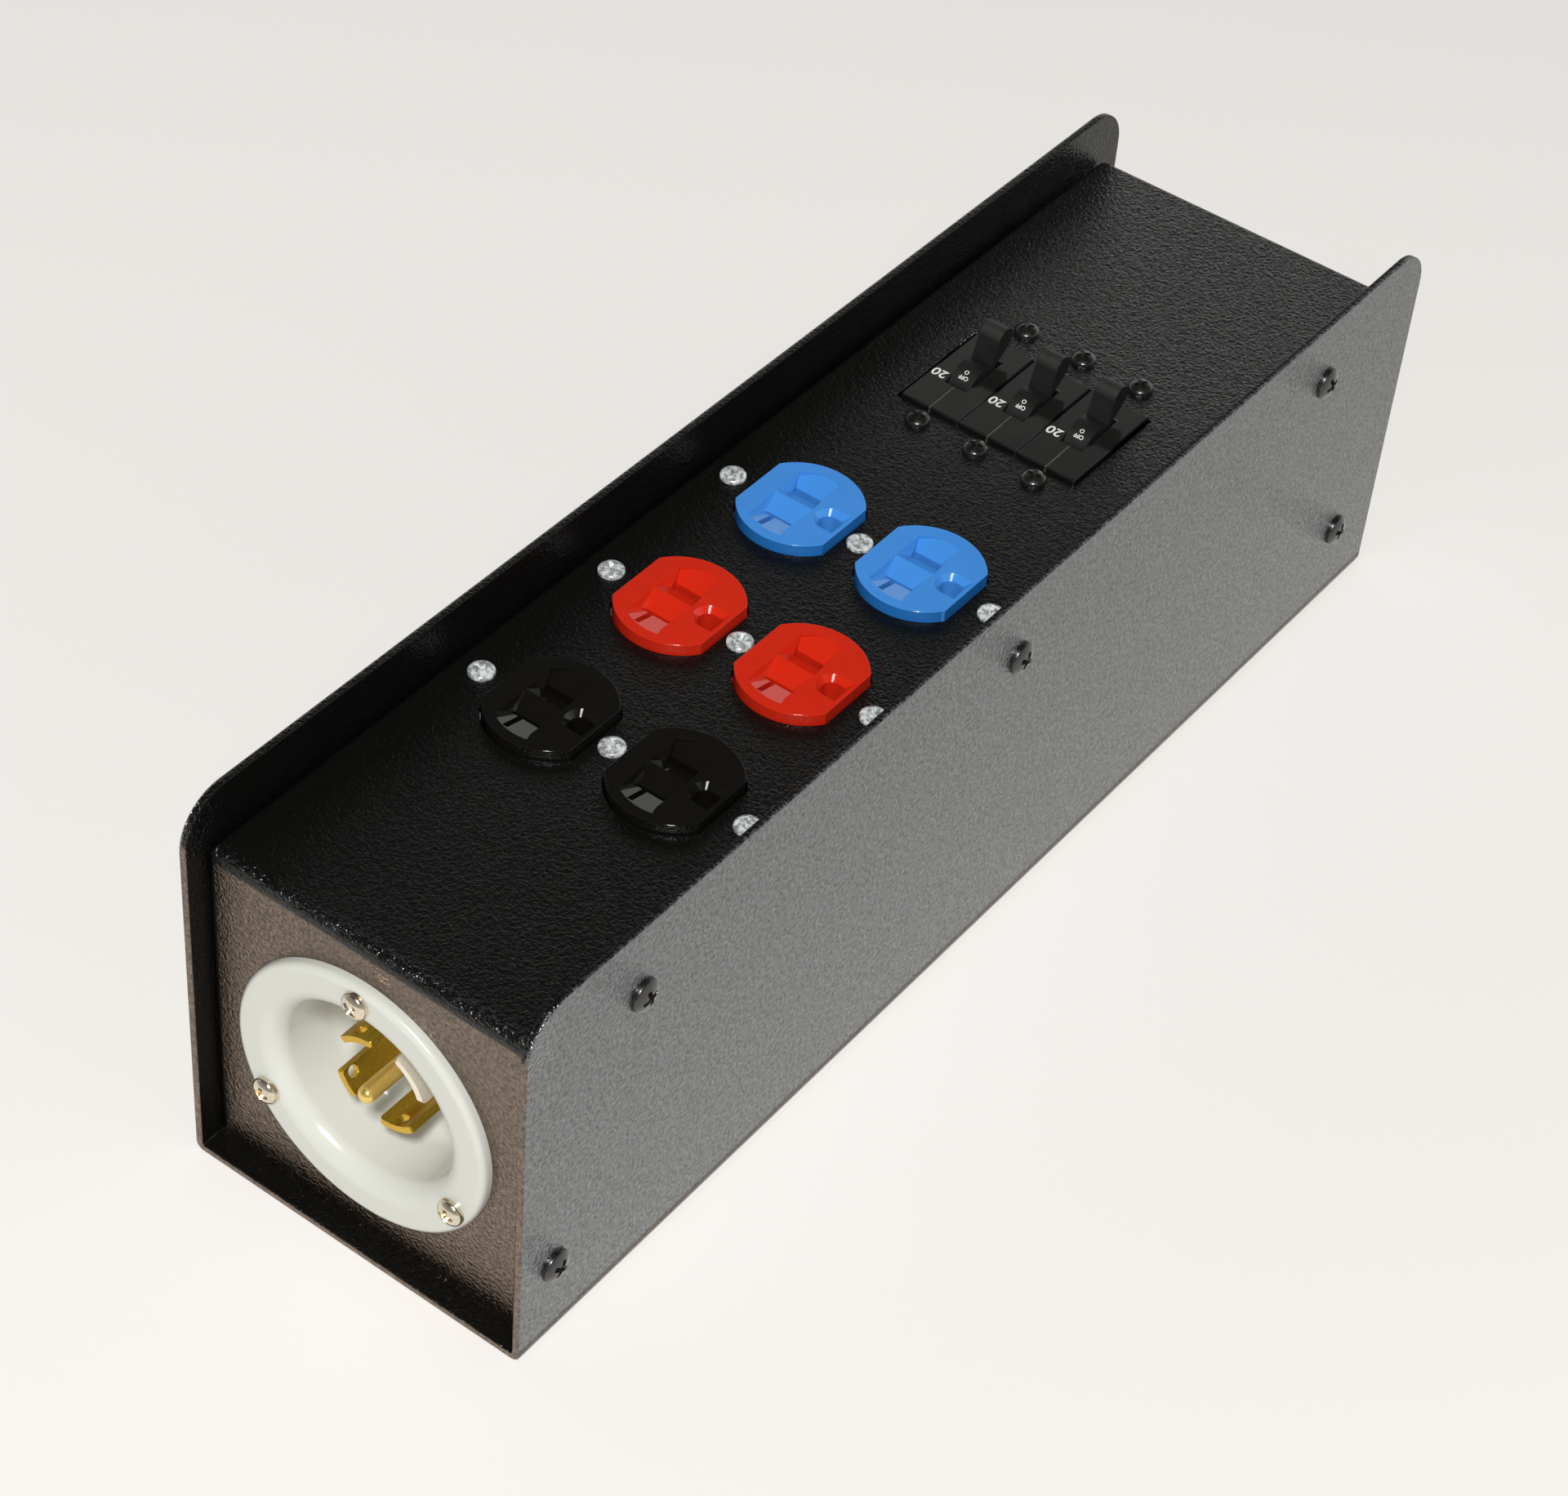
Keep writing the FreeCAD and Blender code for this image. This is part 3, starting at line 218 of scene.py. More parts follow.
class WireSettings(bpy.types.PropertyGroup):
    """Wires and the receptacles' back halves"""
    body: colour("Body", "Colour of the receptacles' back halves", 48, 46, 44)
    black: colour("Black wire", "Colour of the live wires", 24, 24, 25)
    white: colour("White wire", "Colour of the neutral wires", 228, 226, 218)
    green: colour("Green wire", "Colour of the earth wires", 38, 120, 62)


class BreakerSettings(bpy.types.PropertyGroup):
    """Toggle breakers"""
    pitch: size("Pitch", "From one breaker to the next", 19.05)
    near: size("Near end", "From the near screws to the raised face", 5.6)
    long: size("Length", "Length of the raised face", 36.6)
    gap: size("Gap", "Gap between the raised faces and the lid", 0.55)
    left_gap: size("Left gap", "Gap between the raised faces and the lid on the left", 1.3)
    wall: size("Wall", "Thickness of the case's walls", 2.0)
    near_block: size("Near block", "Solid length at the near end of a case", 11.0)
    far_block: size("Far block", "Solid length at the far end of a case", 10.0)
    edge: size("Edge", "Rounding of the breaker faces' edges", 0.3)
    slot: size("Slot", "Half length of the toggle's slot", 8.7)
    slot_side: size("Slot side", "Half width of the toggle's slot", 3.6)
    drum: size("Drum", "Radius of the toggle's drum", 7.8)
    width: size("Width", "Width of the toggle", 6.8)
    bore: size("Bore", "Radius of the toggle's bore", 1.27)
    lever_base: size("Lever base", "Half thickness of the lever where it leaves the drum", 0.6)
    lever_start: size("Lever start", "From the pivot to where the lever leaves the drum", 7.0)
    lever_end: size("Lever end", "Radius of the lever's round end", 3.25)
    lever_reach: size("Lever reach", "From the pivot to the middle of the lever's round end", 16.1)
    lever_taper: turn("Lever taper", "Slope of the lever's sides", 16.0)
    tilt: turn("Tilt", "How far the lever leans to the off side at rest", 36.7)
    rating: StringProperty(name="Rating", description="Number printed on each breaker", default="20")
    digit: size("Digit", "Height of the printed number", 3.4)
    digit_aside: size("Digit aside", "From a toggle's middle to the printed number", 6.7)
    digit_along: size("Digit along", "From the near screws to the printed number", 19.7)
    letter: size("Letter", "Height of the print on the drum", 1.25)
    moulding: colour("Moulding", "Colour of the breaker cases", 21, 21, 20)
    # Painted highlight: the pale line where a case's halves meet.
    seam: colour("Seam", "Colour of the line where a case's halves meet", 74, 73, 69)
    toggle: colour("Toggle", "Colour of the toggles", 17, 17, 16)
    # Painted light: a paler colour on the toggles' round ends.
    round_end_painted_light: colour("Worn", "Colour of the toggles' round ends", 35, 35, 33)
    ink: colour("Ink", "Colour of the printed numbers", 235, 235, 230)


class StageSettings(bpy.types.PropertyGroup):
    """Floor, light and camera"""
    floor: colour("Floor", "Colour of the floor", 240, 238, 236)
    floor_size: FloatProperty(name="Floor size", description="Width of the floor", default=30.0,
                              unit="LENGTH")
    place: FloatVectorProperty(name="Camera place", description="Where the camera stands", size=3,
                               default=(404.17 * MM, -637.79 * MM, 739.07 * MM), subtype="TRANSLATION")
    angles: FloatVectorProperty(name="Camera angles", description="How the camera is turned", size=3,
                                default=tuple(math.radians(a) for a in (46.5875, -3.8336, 37.1353)),
                                subtype="EULER")
    lamp: FloatVectorProperty(name="Lamp", description="Colour of both lights", size=3,
                              default=(1.0, 0.985, 0.97), subtype="COLOR")
    lens: FloatProperty(name="Lens", description="Focal length in millimetres", default=87.02)
    key: FloatProperty(name="Key light", description="Power of the main light in watts", default=328.0)
    key_size: FloatProperty(name="Key size", description="Width of the main light", default=0.8,
                            unit="LENGTH")
    key_from: FloatVectorProperty(name="Key place", description="Where the main light hangs", size=3,
                                  default=(1.86, -3.0, 4.86), subtype="TRANSLATION")
    flash: FloatProperty(name="Flash", description="Power of the small light behind the camera in watts",
                         default=10.0)
    flash_size: FloatProperty(name="Flash size", description="Width of the small light", default=0.5,
                              unit="LENGTH")
    flash_from: FloatVectorProperty(name="Flash place", description="Where the small light hangs", size=3,
                                    default=(0.89, -1.40, 1.63), subtype="TRANSLATION")


# Shapes

def seat(place, outward, twist=0.0):
    """Sets a shape made along +Z at a place, with its +Z along outward."""
    lean = Vector(outward).to_track_quat("Z", "Y").to_matrix().to_4x4()
    return Matrix.Translation(place) @ lean @ Matrix.Rotation(twist, 4, "Z")


def block(low, high):
    """A box between two corners."""
    low, high = Vector(low), Vector(high)
    bm = bmesh.new()
    bmesh.ops.create_cube(bm, size=1.0)
    bmesh.ops.scale(bm, vec=high - low, verts=bm.verts)
    bmesh.ops.translate(bm, vec=(low + high) / 2, verts=bm.verts)
    return bm


def rod(start, end, radius, end_radius=None, steps=48):
    """A round bar or cone between two points."""
    start, end = Vector(start), Vector(end)
    bm = bmesh.new()
    bmesh.ops.create_cone(bm, cap_ends=True, segments=steps, radius1=radius,
                          radius2=radius if end_radius is None else end_radius,
                          depth=(end - start).length)
    bmesh.ops.transform(bm, matrix=seat((start + end) / 2, end - start), verts=bm.verts)
    return bm


def moved(geometry):
    """The vertices in what an operator returned."""
    return [part for part in geometry if isinstance(part, bmesh.types.BMVert)]


def line(bm, points):
    """A chain of edges through points."""
    corners = [bm.verts.new(point) for point in points]
    for pair in zip(corners, corners[1:]):
        bm.edges.new(pair)
    return corners


def round_corners(bm, corners, radius, steps):
    """Round the corners of an outline."""
    bmesh.ops.bevel(bm, geom=corners, offset=radius, offset_type="OFFSET", segments=steps,
                    profile=0.5, affect="VERTICES", clamp_overlap=True, material=-1)


def round_edges(bm, edges, radius, steps):
    """Round the edges of a solid."""
    bmesh.ops.bevel(bm, geom=edges, offset=radius, offset_type="OFFSET", segments=steps,
                    profile=0.5, affect="EDGES", clamp_overlap=True, material=-1)


def edges_where(bm, test):
    """The edges whose both ends pass a test."""
    return [edge for edge in bm.edges if all(test(vert.co) for vert in edge.verts)]


def frame_hole(bm, middle, reach):
    """Divide a level sheet around a place, so that a hole there is cut in a small square face."""
    for outward in (Vector((1, 0, 0)), Vector((0, 1, 0))):
        for side in (-reach, reach):
            everything = bm.verts[:] + bm.edges[:] + bm.faces[:]
            bmesh.ops.bisect_plane(bm, geom=everything, plane_co=middle + side * outward,
                                   plane_no=outward)


def slab(outline, reach):
    """A closed outline pulled along a vector into a solid."""
    bm = bmesh.new()
    face = bm.faces.new([bm.verts.new(point) for point in outline])
    pulled = bmesh.ops.extrude_face_region(bm, geom=[face])["geom"]
    bmesh.ops.translate(bm, vec=reach, verts=moved(pulled))
    bmesh.ops.recalc_face_normals(bm, faces=bm.faces)
    return bm


def trim(bm, point, outward):
    """Cut away what lies beyond a plane, and close the cut."""
    everything = bm.verts[:] + bm.edges[:] + bm.faces[:]
    cut = bmesh.ops.bisect_plane(bm, geom=everything, plane_co=point, plane_no=outward,
                                 clear_outer=True)["geom_cut"]
    rim = [part for part in cut if isinstance(part, bmesh.types.BMEdge)]
    bmesh.ops.edgeloop_fill(bm, edges=rim)
    bmesh.ops.recalc_face_normals(bm, faces=bm.faces)
    return bm


def flatted_disc(x, y, radius, flat, low, high, steps=128):
    """A round plug with two flats, between two heights."""
    bm = rod((x, y, low), (x, y, high), radius, steps=steps)
    for side in (-1, 1):
        trim(bm, (x + side * flat, y, low), (side, 0, 0))
    return bm


def revolve(points, rounds, steps=64):
    """A solid of revolution about Z from (radius, height) points, with some corners rounded."""
    bm = bmesh.new()
    corners = line(bm, [(radius, 0, height) for radius, height in points])
    for corner, radius in rounds.items():
        round_corners(bm, [corners[corner]], radius, 8)
    bmesh.ops.spin(bm, geom=bm.verts[:] + bm.edges[:], cent=(0, 0, 0), axis=UP,
                   angle=math.tau, steps=steps, use_merge=True)
    bmesh.ops.remove_doubles(bm, verts=bm.verts, dist=TINY / 10)
    bmesh.ops.recalc_face_normals(bm, faces=bm.faces)
    return bm


def loose_object(bm, name="loose"):
    """A plain object that holds a shape."""
    mesh = bpy.data.meshes.new(name)
    bm.to_mesh(mesh)
    bm.free()
    made = bpy.data.objects.new(name, mesh)
    bpy.context.scene.collection.objects.link(made)
    return made


def combine(bm, tools, operation="DIFFERENCE"):
    """Cut tools out of a shape, or join them, or keep what they share."""
    base = loose_object(bm)
    helpers = [loose_object(tool) for tool in tools]
    for helper in helpers:
        step = base.modifiers.new("combine", "BOOLEAN")
        step.operation = operation
        step.solver = "EXACT"
        step.object = helper
    graph = bpy.context.evaluated_depsgraph_get()
    result = bpy.data.meshes.new_from_object(base.evaluated_get(graph))
    made = bmesh.new()
    made.from_mesh(result)
    bpy.data.meshes.remove(result)
    for spent in [base] + helpers:
        bpy.data.meshes.remove(spent.data)
    bmesh.ops.remove_doubles(made, verts=made.verts, dist=TINY / 10)
    return made


def gather(shapes):
    """Several shapes as one mesh."""
    made = bmesh.new()
    for shape in shapes:
        mesh = bpy.data.meshes.new("gather")
        shape.to_mesh(mesh)
        shape.free()
        made.from_mesh(mesh)
        bpy.data.meshes.remove(mesh)
    return made


def solids(node):
    """Lowest and highest corner of each separate solid in a node of the frame."""
    bm = bmesh.new()
    bm.from_mesh(frame["nodes"][node].data)
    bmesh.ops.remove_doubles(bm, verts=bm.verts, dist=TINY / 10)
    left = set(bm.verts)
    boxes = []
    while left:
        island = [left.pop()]
        for vert in island:
            for edge in vert.link_edges:
                other = edge.other_vert(vert)
                if other in left:
                    left.remove(other)
                    island.append(other)
        low = Vector([min(vert.co[axis] for vert in island) for axis in range(3)])
        high = Vector([max(vert.co[axis] for vert in island) for axis in range(3)])
        boxes.append((low, high))
    bm.free()
    return sorted(boxes, key=lambda pair: [round(value / MM) for value in pair[0]])


def piece(name, bm, finish, nodes=(), body=BODY, edge=0.0, sharp=35):
    """Turn a shape into a finished piece that rides on a body and stands for nodes of the frame."""
    bmesh.ops.recalc_face_normals(bm, faces=bm.faces)
    weight = bm.edges.layers.float.new("bevel_weight_edge")
    for rim in bm.edges:
        if rim.is_manifold and rim.is_convex and rim.calc_face_angle() > math.radians(sharp):
            rim[weight] = 1.0
    made = loose_object(bm, name)
    made.data.shade_smooth()
    made.data.set_sharp_from_angle(angle=math.radians(sharp))
    made.data.materials.append(finish)
    if edge:
        soften = made.modifiers.new("soft edges", "BEVEL")
        soften.limit_method = "WEIGHT"
        soften.width = edge
        soften.segments = 2
    shade = made.modifiers.new("even shading", "WEIGHTED_NORMAL")
    shade.keep_sharp = True
    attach(made, body)
    if nodes:
        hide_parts(*nodes)
    return made


# Finishes

def add(tree, kind, options=None, **inputs):
    """A shader node with its options and inputs; an input may be another node's output."""
    made = tree.nodes.new("ShaderNode" + kind)
    for key, value in (options or {}).items():
        setattr(made, key, value)
    for key, value in inputs.items():
        feed(tree, made.inputs[key.replace("_", " ")], value)
    return made


def feed(tree, socket, value):
    """Set a socket to a value, or link it to an output."""
    if isinstance(value, bpy.types.NodeSocket):
        tree.links.new(value, socket)
    else:
        socket.default_value = value


def start_finish(name, **inputs):
    """A new material; returns it, its node tree, its shader and the object coordinates."""
    made = bpy.data.materials.new(name)
    made.use_nodes = True
    tree = made.node_tree
    shader = tree.nodes["Principled BSDF"]
    for key, value in inputs.items():
        feed(tree, shader.inputs[key.replace("_", " ")], value)
    return made, tree, shader, add(tree, "TexCoord").outputs["Object"]


def noise(tree, place, width, detail=2.0, roughness=0.5, distortion=0.0):
    """Cloudy values with features of about one width."""
    return add(tree, "TexNoise", Vector=place, Scale=1.0 / width, Detail=detail, Roughness=roughness,
               Distortion=distortion).outputs["Fac"]


def spread(tree, value, low, high, start=0.3, end=0.7, kind="LINEAR"):
    """Map a value from one range to another, held at the ends; the usual range is a noise's."""
    return add(tree, "MapRange", {"interpolation_type": kind}, Value=value, From_Min=start, From_Max=end,
               To_Min=low, To_Max=high).outputs["Result"]


def rise(tree, value, start, end):
    """A mask that is 0 before the start and 1 past the end; it falls if the end is the lower one."""
    return spread(tree, value, 0.0, 1.0, start, end)


def tones(tree, value, first, second):
    """Go from one colour to another with a value; a colour may be another node's output."""
    made = add(tree, "Mix", {"data_type": "RGBA"})
    feed(tree, made.inputs[0], value)
    for number, tint in ((6, first), (7, second)):
        linked = isinstance(tint, bpy.types.NodeSocket)
        feed(tree, made.inputs[number], tint if linked else (*tint, 1.0))
    return made.outputs[2]


def reckon(tree, operation, first, second=0.0):
    """One step of arithmetic on values."""
    made = add(tree, "Math", {"operation": operation})
    feed(tree, made.inputs[0], first)
    feed(tree, made.inputs[1], second)
    return made.outputs[0]


def overlap(tree, first, *others):
    """Where all of several masks hold."""
    for other in others:
        first = reckon(tree, "MULTIPLY", first, other)
    return first


def bump(tree, height, distance, strength=1.0, under=None):
    """A surface normal from a height."""
    made = add(tree, "Bump", Height=height, Distance=distance, Strength=strength)
    if under is not None:
        feed(tree, made.inputs["Normal"], under)
    return made.outputs["Normal"]


def fine_skin(tree, place):
    """The very fine skin of a moulding."""
    return bump(tree, noise(tree, place, 0.4 * MM), 0.008 * MM, 0.5)


def surface(tree, shader, tint, rough, normal):
    """Feed a shader's colour, roughness and surface normal."""
    for key, value in (("Base Color", tint), ("Roughness", rough), ("Normal", normal)):
        feed(tree, shader.inputs[key], value)


def shaded(tint, factor):
    """A colour made darker or lighter."""
    return tuple(min(1.0, value * factor) for value in tint)


def textured_coat(name, sheet):
    """Black coat with a fine wormy grain; the strength and tint of its reflection are painted by place: painted
    reflection that is stronger and pale on the outer sides, warm on the front end and on the channel's front cut
    edge, weaker on the top and inner faces towards the front and set apart on the front bend, painted shade in a
    band along the bottom bends, and reflection dimmer towards the top of the channel; the reflection is also
    uneven along the grain.
    """
    made, tree, shader, place = start_finish(name, IOR=2.0, Specular_IOR_Level=1.0)
    where = add(tree, "SeparateXYZ", Vector=place).outputs
    x, y, z = reckon(tree, "ABSOLUTE", where["X"]), where["Y"], where["Z"]
    bend = sheet.bend
    # Masks that place painted reflection and painted shade on the coat: outer sides, inner faces, front bend,
    # bottom band and front end.
    outside = rise(tree, x, CHANNEL_HIGH.x - 0.9 * MM, CHANNEL_HIGH.x - 0.5 * MM)
    inside = rise(tree, x, LID_HIGH.x - 0.1 * MM, LID_HIGH.x - 0.2 * MM)
    crest = overlap(tree, rise(tree, z, TOP - 0.7 * bend, TOP - 0.5 * bend),
                    rise(tree, y, FRONT + 2 * bend, FRONT + bend))
    # Painted shade: below this height the outer sides' reflection is tinted dark, as a band along the bottom
    # bends.
    raised = rise(tree, z, sheet.painted_shade_band_height - 0.1 * MM, sheet.painted_shade_band_height + 0.1 * MM)
    above = rise(tree, z, 0.9 * sheet.thickness, 0.95 * sheet.thickness)
    below = rise(tree, z, TOP - 1.3 * bend, TOP - 1.7 * bend)
    before = rise(tree, y, FRONT - 0.4 * MM, FRONT - 0.2 * MM)
    behind = rise(tree, y, FRONT + bend, FRONT + 0.5 * bend)
    front = overlap(tree, inside, above, below, before, behind)
    # Painted reflection: the channel's front cut edge gets the warm tint of the front end.
    cut = rise(tree, y, CHANNEL_LOW.y + sheet.edge, CHANNEL_LOW.y + 0.1 * MM)
    # Painted reflection: the top and the inner faces reflect weakly at the front and more strongly towards the
    # rear.
    along = spread(tree, y, 0.0, 1.0, 0.0, 0.7 * LID_HIGH.y, "SMOOTHSTEP")
    worms = noise(tree, place, sheet.grain, 1.0, 0.4, 0.6)
    grain = bump(tree, worms, spread(tree, crest, sheet.relief, 2 * sheet.relief, 0.0, 1.0))
    fine = bump(tree, noise(tree, place, 0.4 * sheet.grain), 0.35 * sheet.relief, under=grain)
    cloud = noise(tree, place, 18 * MM)
    tint = tones(tree, cloud, shaded(sheet.coat, 0.8), shaded(sheet.coat, 1.2))
    surface(tree, shader, tint, spread(tree, crest, 0.18, 0.07, 0.0, 1.0), fine)
    # The specular tint built below is painted reflection and painted shade, set by place.
    near, far = (sheet.near_painted_reflection,) * 3, (sheet.far_painted_reflection,) * 3
    gloss = tones(tree, overlap(tree, along, inside), near, far)
    gloss = tones(tree, overlap(tree, crest, inside), gloss, (sheet.crest_painted_reflection,) * 3)
    # Painted reflection on the outer sides with a painted shade band along the bottom bends; painted warm
    # reflection on the front end and its cut edge.
    gloss = tones(tree, outside, gloss, tones(tree, raised, sheet.bend_painted_shade, sheet.side_painted_reflection))
    gloss = tones(tree, front, gloss, sheet.front_painted_reflection)
    gloss = tones(tree, cut, gloss, sheet.front_painted_reflection)
    # Painted shade: the reflection fades towards the top of the channel; it is also made uneven along the grain.
    upper = spread(tree, z, 1.0, 0.85, CHANNEL_LOW.z, CHANNEL_HIGH.z)
    grain_and_painted_fade = overlap(tree, upper, spread(tree, worms, 0.6, 1.4))
    glossy = add(tree, "VectorMath", {"operation": "SCALE"}, Vector=gloss, Scale=grain_and_painted_fade)
    feed(tree, shader.inputs["Specular Tint"], glossy.outputs[0])
    return made


def plated(name, tint, rough, mottle, width, metal=1.0):
    """Plated metal with a mottled gloss; a chalky plating is less metallic."""
    made, tree, shader, place = start_finish(name, Metallic=metal)
    cloud = noise(tree, place, width, 3.0, 0.6)
    patch = rise(tree, cloud, 0.4, 0.6)
    surface(tree, shader, tones(tree, patch, shaded(tint, 1 - mottle), tint),
            spread(tree, cloud, 1.5 * rough, 0.6 * rough), bump(tree, cloud, 0.25 * mottle * MM, 0.8))
    return made


def rolled_metal(name, tint, rough, metal=1.0):
    """Bare sheet metal with fine lines along Y and a few dull patches."""
    made, tree, shader, place = start_finish(name, Metallic=metal)
    drawn = add(tree, "Mapping", Vector=place, Scale=(1.0, 0.06, 1.0)).outputs["Vector"]
    lines = noise(tree, drawn, 0.25 * MM, 2.0)
    patch = noise(tree, place, 5 * MM)
    surface(tree, shader, tones(tree, patch, shaded(tint, 0.8), tint),
            spread(tree, lines, 0.7 * rough, 1.4 * rough), bump(tree, lines, 0.01 * MM, 0.5))
    return made


def blackened(name, tint):
    """Blackened screw steel with a glossy, slightly uneven skin."""
    made, tree, shader, place = start_finish(name, Coat_Weight=0.6, Coat_Roughness=0.12)
    cloud = noise(tree, place, 1.6 * MM, 3.0)
    surface(tree, shader, tones(tree, cloud, shaded(tint, 0.6), shaded(tint, 1.8)),
            spread(tree, cloud, 0.2, 0.38), bump(tree, cloud, 0.03 * MM, 0.5))
    return made


def moulded(name, tint, rough, mottle=0.06, soft=0.0):
    """Moulded plastic: faint flow marks, an uneven gloss and a very fine skin."""
    made, tree, shader, place = start_finish(name, Subsurface_Weight=soft, Subsurface_Scale=3 * MM,
                                             Subsurface_Radius=(1.0, 1.0, 0.9))
    flow = noise(tree, place, 9 * MM, 3.0, 0.5, 0.8)
    surface(tree, shader, tones(tree, flow, shaded(tint, 1 - mottle), shaded(tint, 1 + mottle)),
            spread(tree, flow, 0.8 * rough, 1.25 * rough), fine_skin(tree, place))
    return made


def case_moulding(name, breaker):
    """Glossy case moulding: a pale line painted as a highlight where the halves meet, and a dark line painted as
    shade between the cases, where the reflection is also taken away.
    """
    made, tree, shader, place = start_finish(name, IOR=2.0)
    where = add(tree, "SeparateXYZ", Vector=place).outputs
    flow = noise(tree, place, 9 * MM, 3.0, 0.5, 0.8)
    half = breaker.pitch / 2
    aside = reckon(tree, "PINGPONG", where["X"], half)
    middle = toggle_pivot(1).y
    slot_end = middle - breaker.slot
    # Painted highlight: a pale line along the parting line up to the toggle's slot.
    meet = overlap(tree, rise(tree, where["Y"], slot_end + MM, slot_end),
                   rise(tree, aside, 0.25 * MM, 0.1 * MM))
    # Painted shade: a dark line between neighbouring cases, from near the toggle's pivot to the rear.
    seam = overlap(tree, rise(tree, where["Y"], middle - 4 * MM, middle - 2 * MM),
                   rise(tree, aside, half - 0.7 * MM, half - 0.5 * MM))
    plain = tones(tree, flow, shaded(breaker.moulding, 0.8), shaded(breaker.moulding, 1.2))
    plain = tones(tree, seam, plain, shaded(breaker.moulding, 0.2))
    surface(tree, shader, tones(tree, meet, plain, breaker.seam), spread(tree, flow, 0.08, 0.13),
            fine_skin(tree, place))
    # Painted shade: the reflection is taken away along the dark line between the cases.
    feed(tree, shader.inputs["Specular Tint"], tones(tree, seam, (1.0,) * 3, (0.05,) * 3))
    return made


def toggle_moulding(name, number, breaker):
    """Satin toggle moulding, with the round end of the lever painted paler as painted light where the lamps catch
    it.
    """
    made, tree, shader, place = start_finish(name, IOR=1.45)
    pivot = toggle_pivot(number)
    axis = Vector((0, math.sin(breaker.tilt), math.cos(breaker.tilt)))
    along = add(tree, "VectorMath", {"operation": "DOT_PRODUCT"})
    feed(tree, along.inputs[0], place)
    feed(tree, along.inputs[1], axis)
    # Painted light: the round end of the lever is painted paler.
    painted_light_from = pivot.dot(axis) + breaker.lever_reach - 1.7 * MM
    across = add(tree, "SeparateXYZ", Vector=place).outputs["X"]
    left, right = pivot.x - breaker.width / 2, pivot.x + breaker.width / 2
    round_end = overlap(tree, rise(tree, along.outputs["Value"], painted_light_from, painted_light_from + 0.5 * MM),
                        rise(tree, across, left + 0.1 * MM, left + 0.3 * MM),
                        rise(tree, across, right - 0.1 * MM, right - 0.3 * MM))
    flow = noise(tree, place, 4 * MM, 3.0)
    plain = tones(tree, flow, shaded(breaker.toggle, 0.85), shaded(breaker.toggle, 1.15))
    surface(tree, shader, tones(tree, round_end, plain, breaker.round_end_painted_light), spread(tree, flow, 0.45, 0.55),
            fine_skin(tree, place))
    return made


def printed(name, tint):
    """Printed ink, slightly uneven."""
    made, tree, shader, place = start_finish(name)
    grain = noise(tree, place, 0.3 * MM)
    feed(tree, shader.inputs["Base Color"], tones(tree, grain, shaded(tint, 0.75), tint))
    feed(tree, shader.inputs["Roughness"], spread(tree, grain, 0.35, 0.55))
    return made


def wound_copper(name, tint):
    """Enamelled copper wound in close turns along Y, painted darker between the turns as shade in the grooves."""
    made, tree, shader, place = start_finish(name, Metallic=1.0, Coat_Weight=0.5)
    turns = add(tree, "TexWave", {"wave_type": "BANDS", "bands_direction": "Y"}, Vector=place,
                Scale=0.3 / MM, Distortion=0.3).outputs["Fac"]
    # Painted shade: darker in the grooves between the turns.
    surface(tree, shader, tones(tree, turns, shaded(tint, 0.35), tint),
            spread(tree, turns, 0.4, 0.25, 0.0, 1.0), bump(tree, turns, 0.2 * MM))
    return made


def make_finish(slot):
    """The material for one of the record's slots."""
    scene = bpy.context.scene
    sheet, screw, inlet = scene.stringer_sheet, scene.stringer_screws, scene.stringer_inlet
    outlet, breaker, wires = scene.stringer_outlets, scene.stringer_breakers, scene.stringer_wires
    makers = {
        "powder_coat": lambda name: textured_coat(name, sheet),
        "black_screw": lambda name: blackened(name, screw.black),
        "zinc_steel": lambda name: plated(name, screw.zinc, 0.2, 0.7, 1.5 * MM, 0.25),
        "nickel": lambda name: plated(name, screw.nickel, 0.15, 0.12, 2 * MM, 0.92),
        "brass": lambda name: rolled_metal(name, inlet.brass, 0.24),
        "copper": lambda name: wound_copper(name, inlet.copper),
        "white_nylon": lambda name: moulded(name, inlet.nylon, 0.2, 0.02, 0.25),
        "black_moulding": lambda name: moulded(name, outlet.black, 0.07),
        "red_moulding": lambda name: moulded(name, outlet.red, 0.11),
        "blue_moulding": lambda name: moulded(name, outlet.blue, 0.11),
        "breaker_moulding": lambda name: case_moulding(name, breaker),
        "body_moulding": lambda name: moulded(name, wires.body, 0.45, 0.15),
        "green_screw": lambda name: plated(name, screw.green, 0.3, 0.3, 0.9 * MM),
        "black_wire": lambda name: moulded(name, wires.black, 0.4, 0.2),
        "white_wire": lambda name: moulded(name, wires.white, 0.4, 0.04),
        "green_wire": lambda name: moulded(name, wires.green, 0.4, 0.1),
    }
    return makers[slot](finish_name(slot))


def finish_name(slot):
    """The name of the material for a slot."""
    return slot.replace("_", " ") + " finish"


def finish(slot):
    """The material for a slot, made once."""
    return bpy.data.materials.get(finish_name(slot)) or make_finish(slot)


# Folded sheet pieces

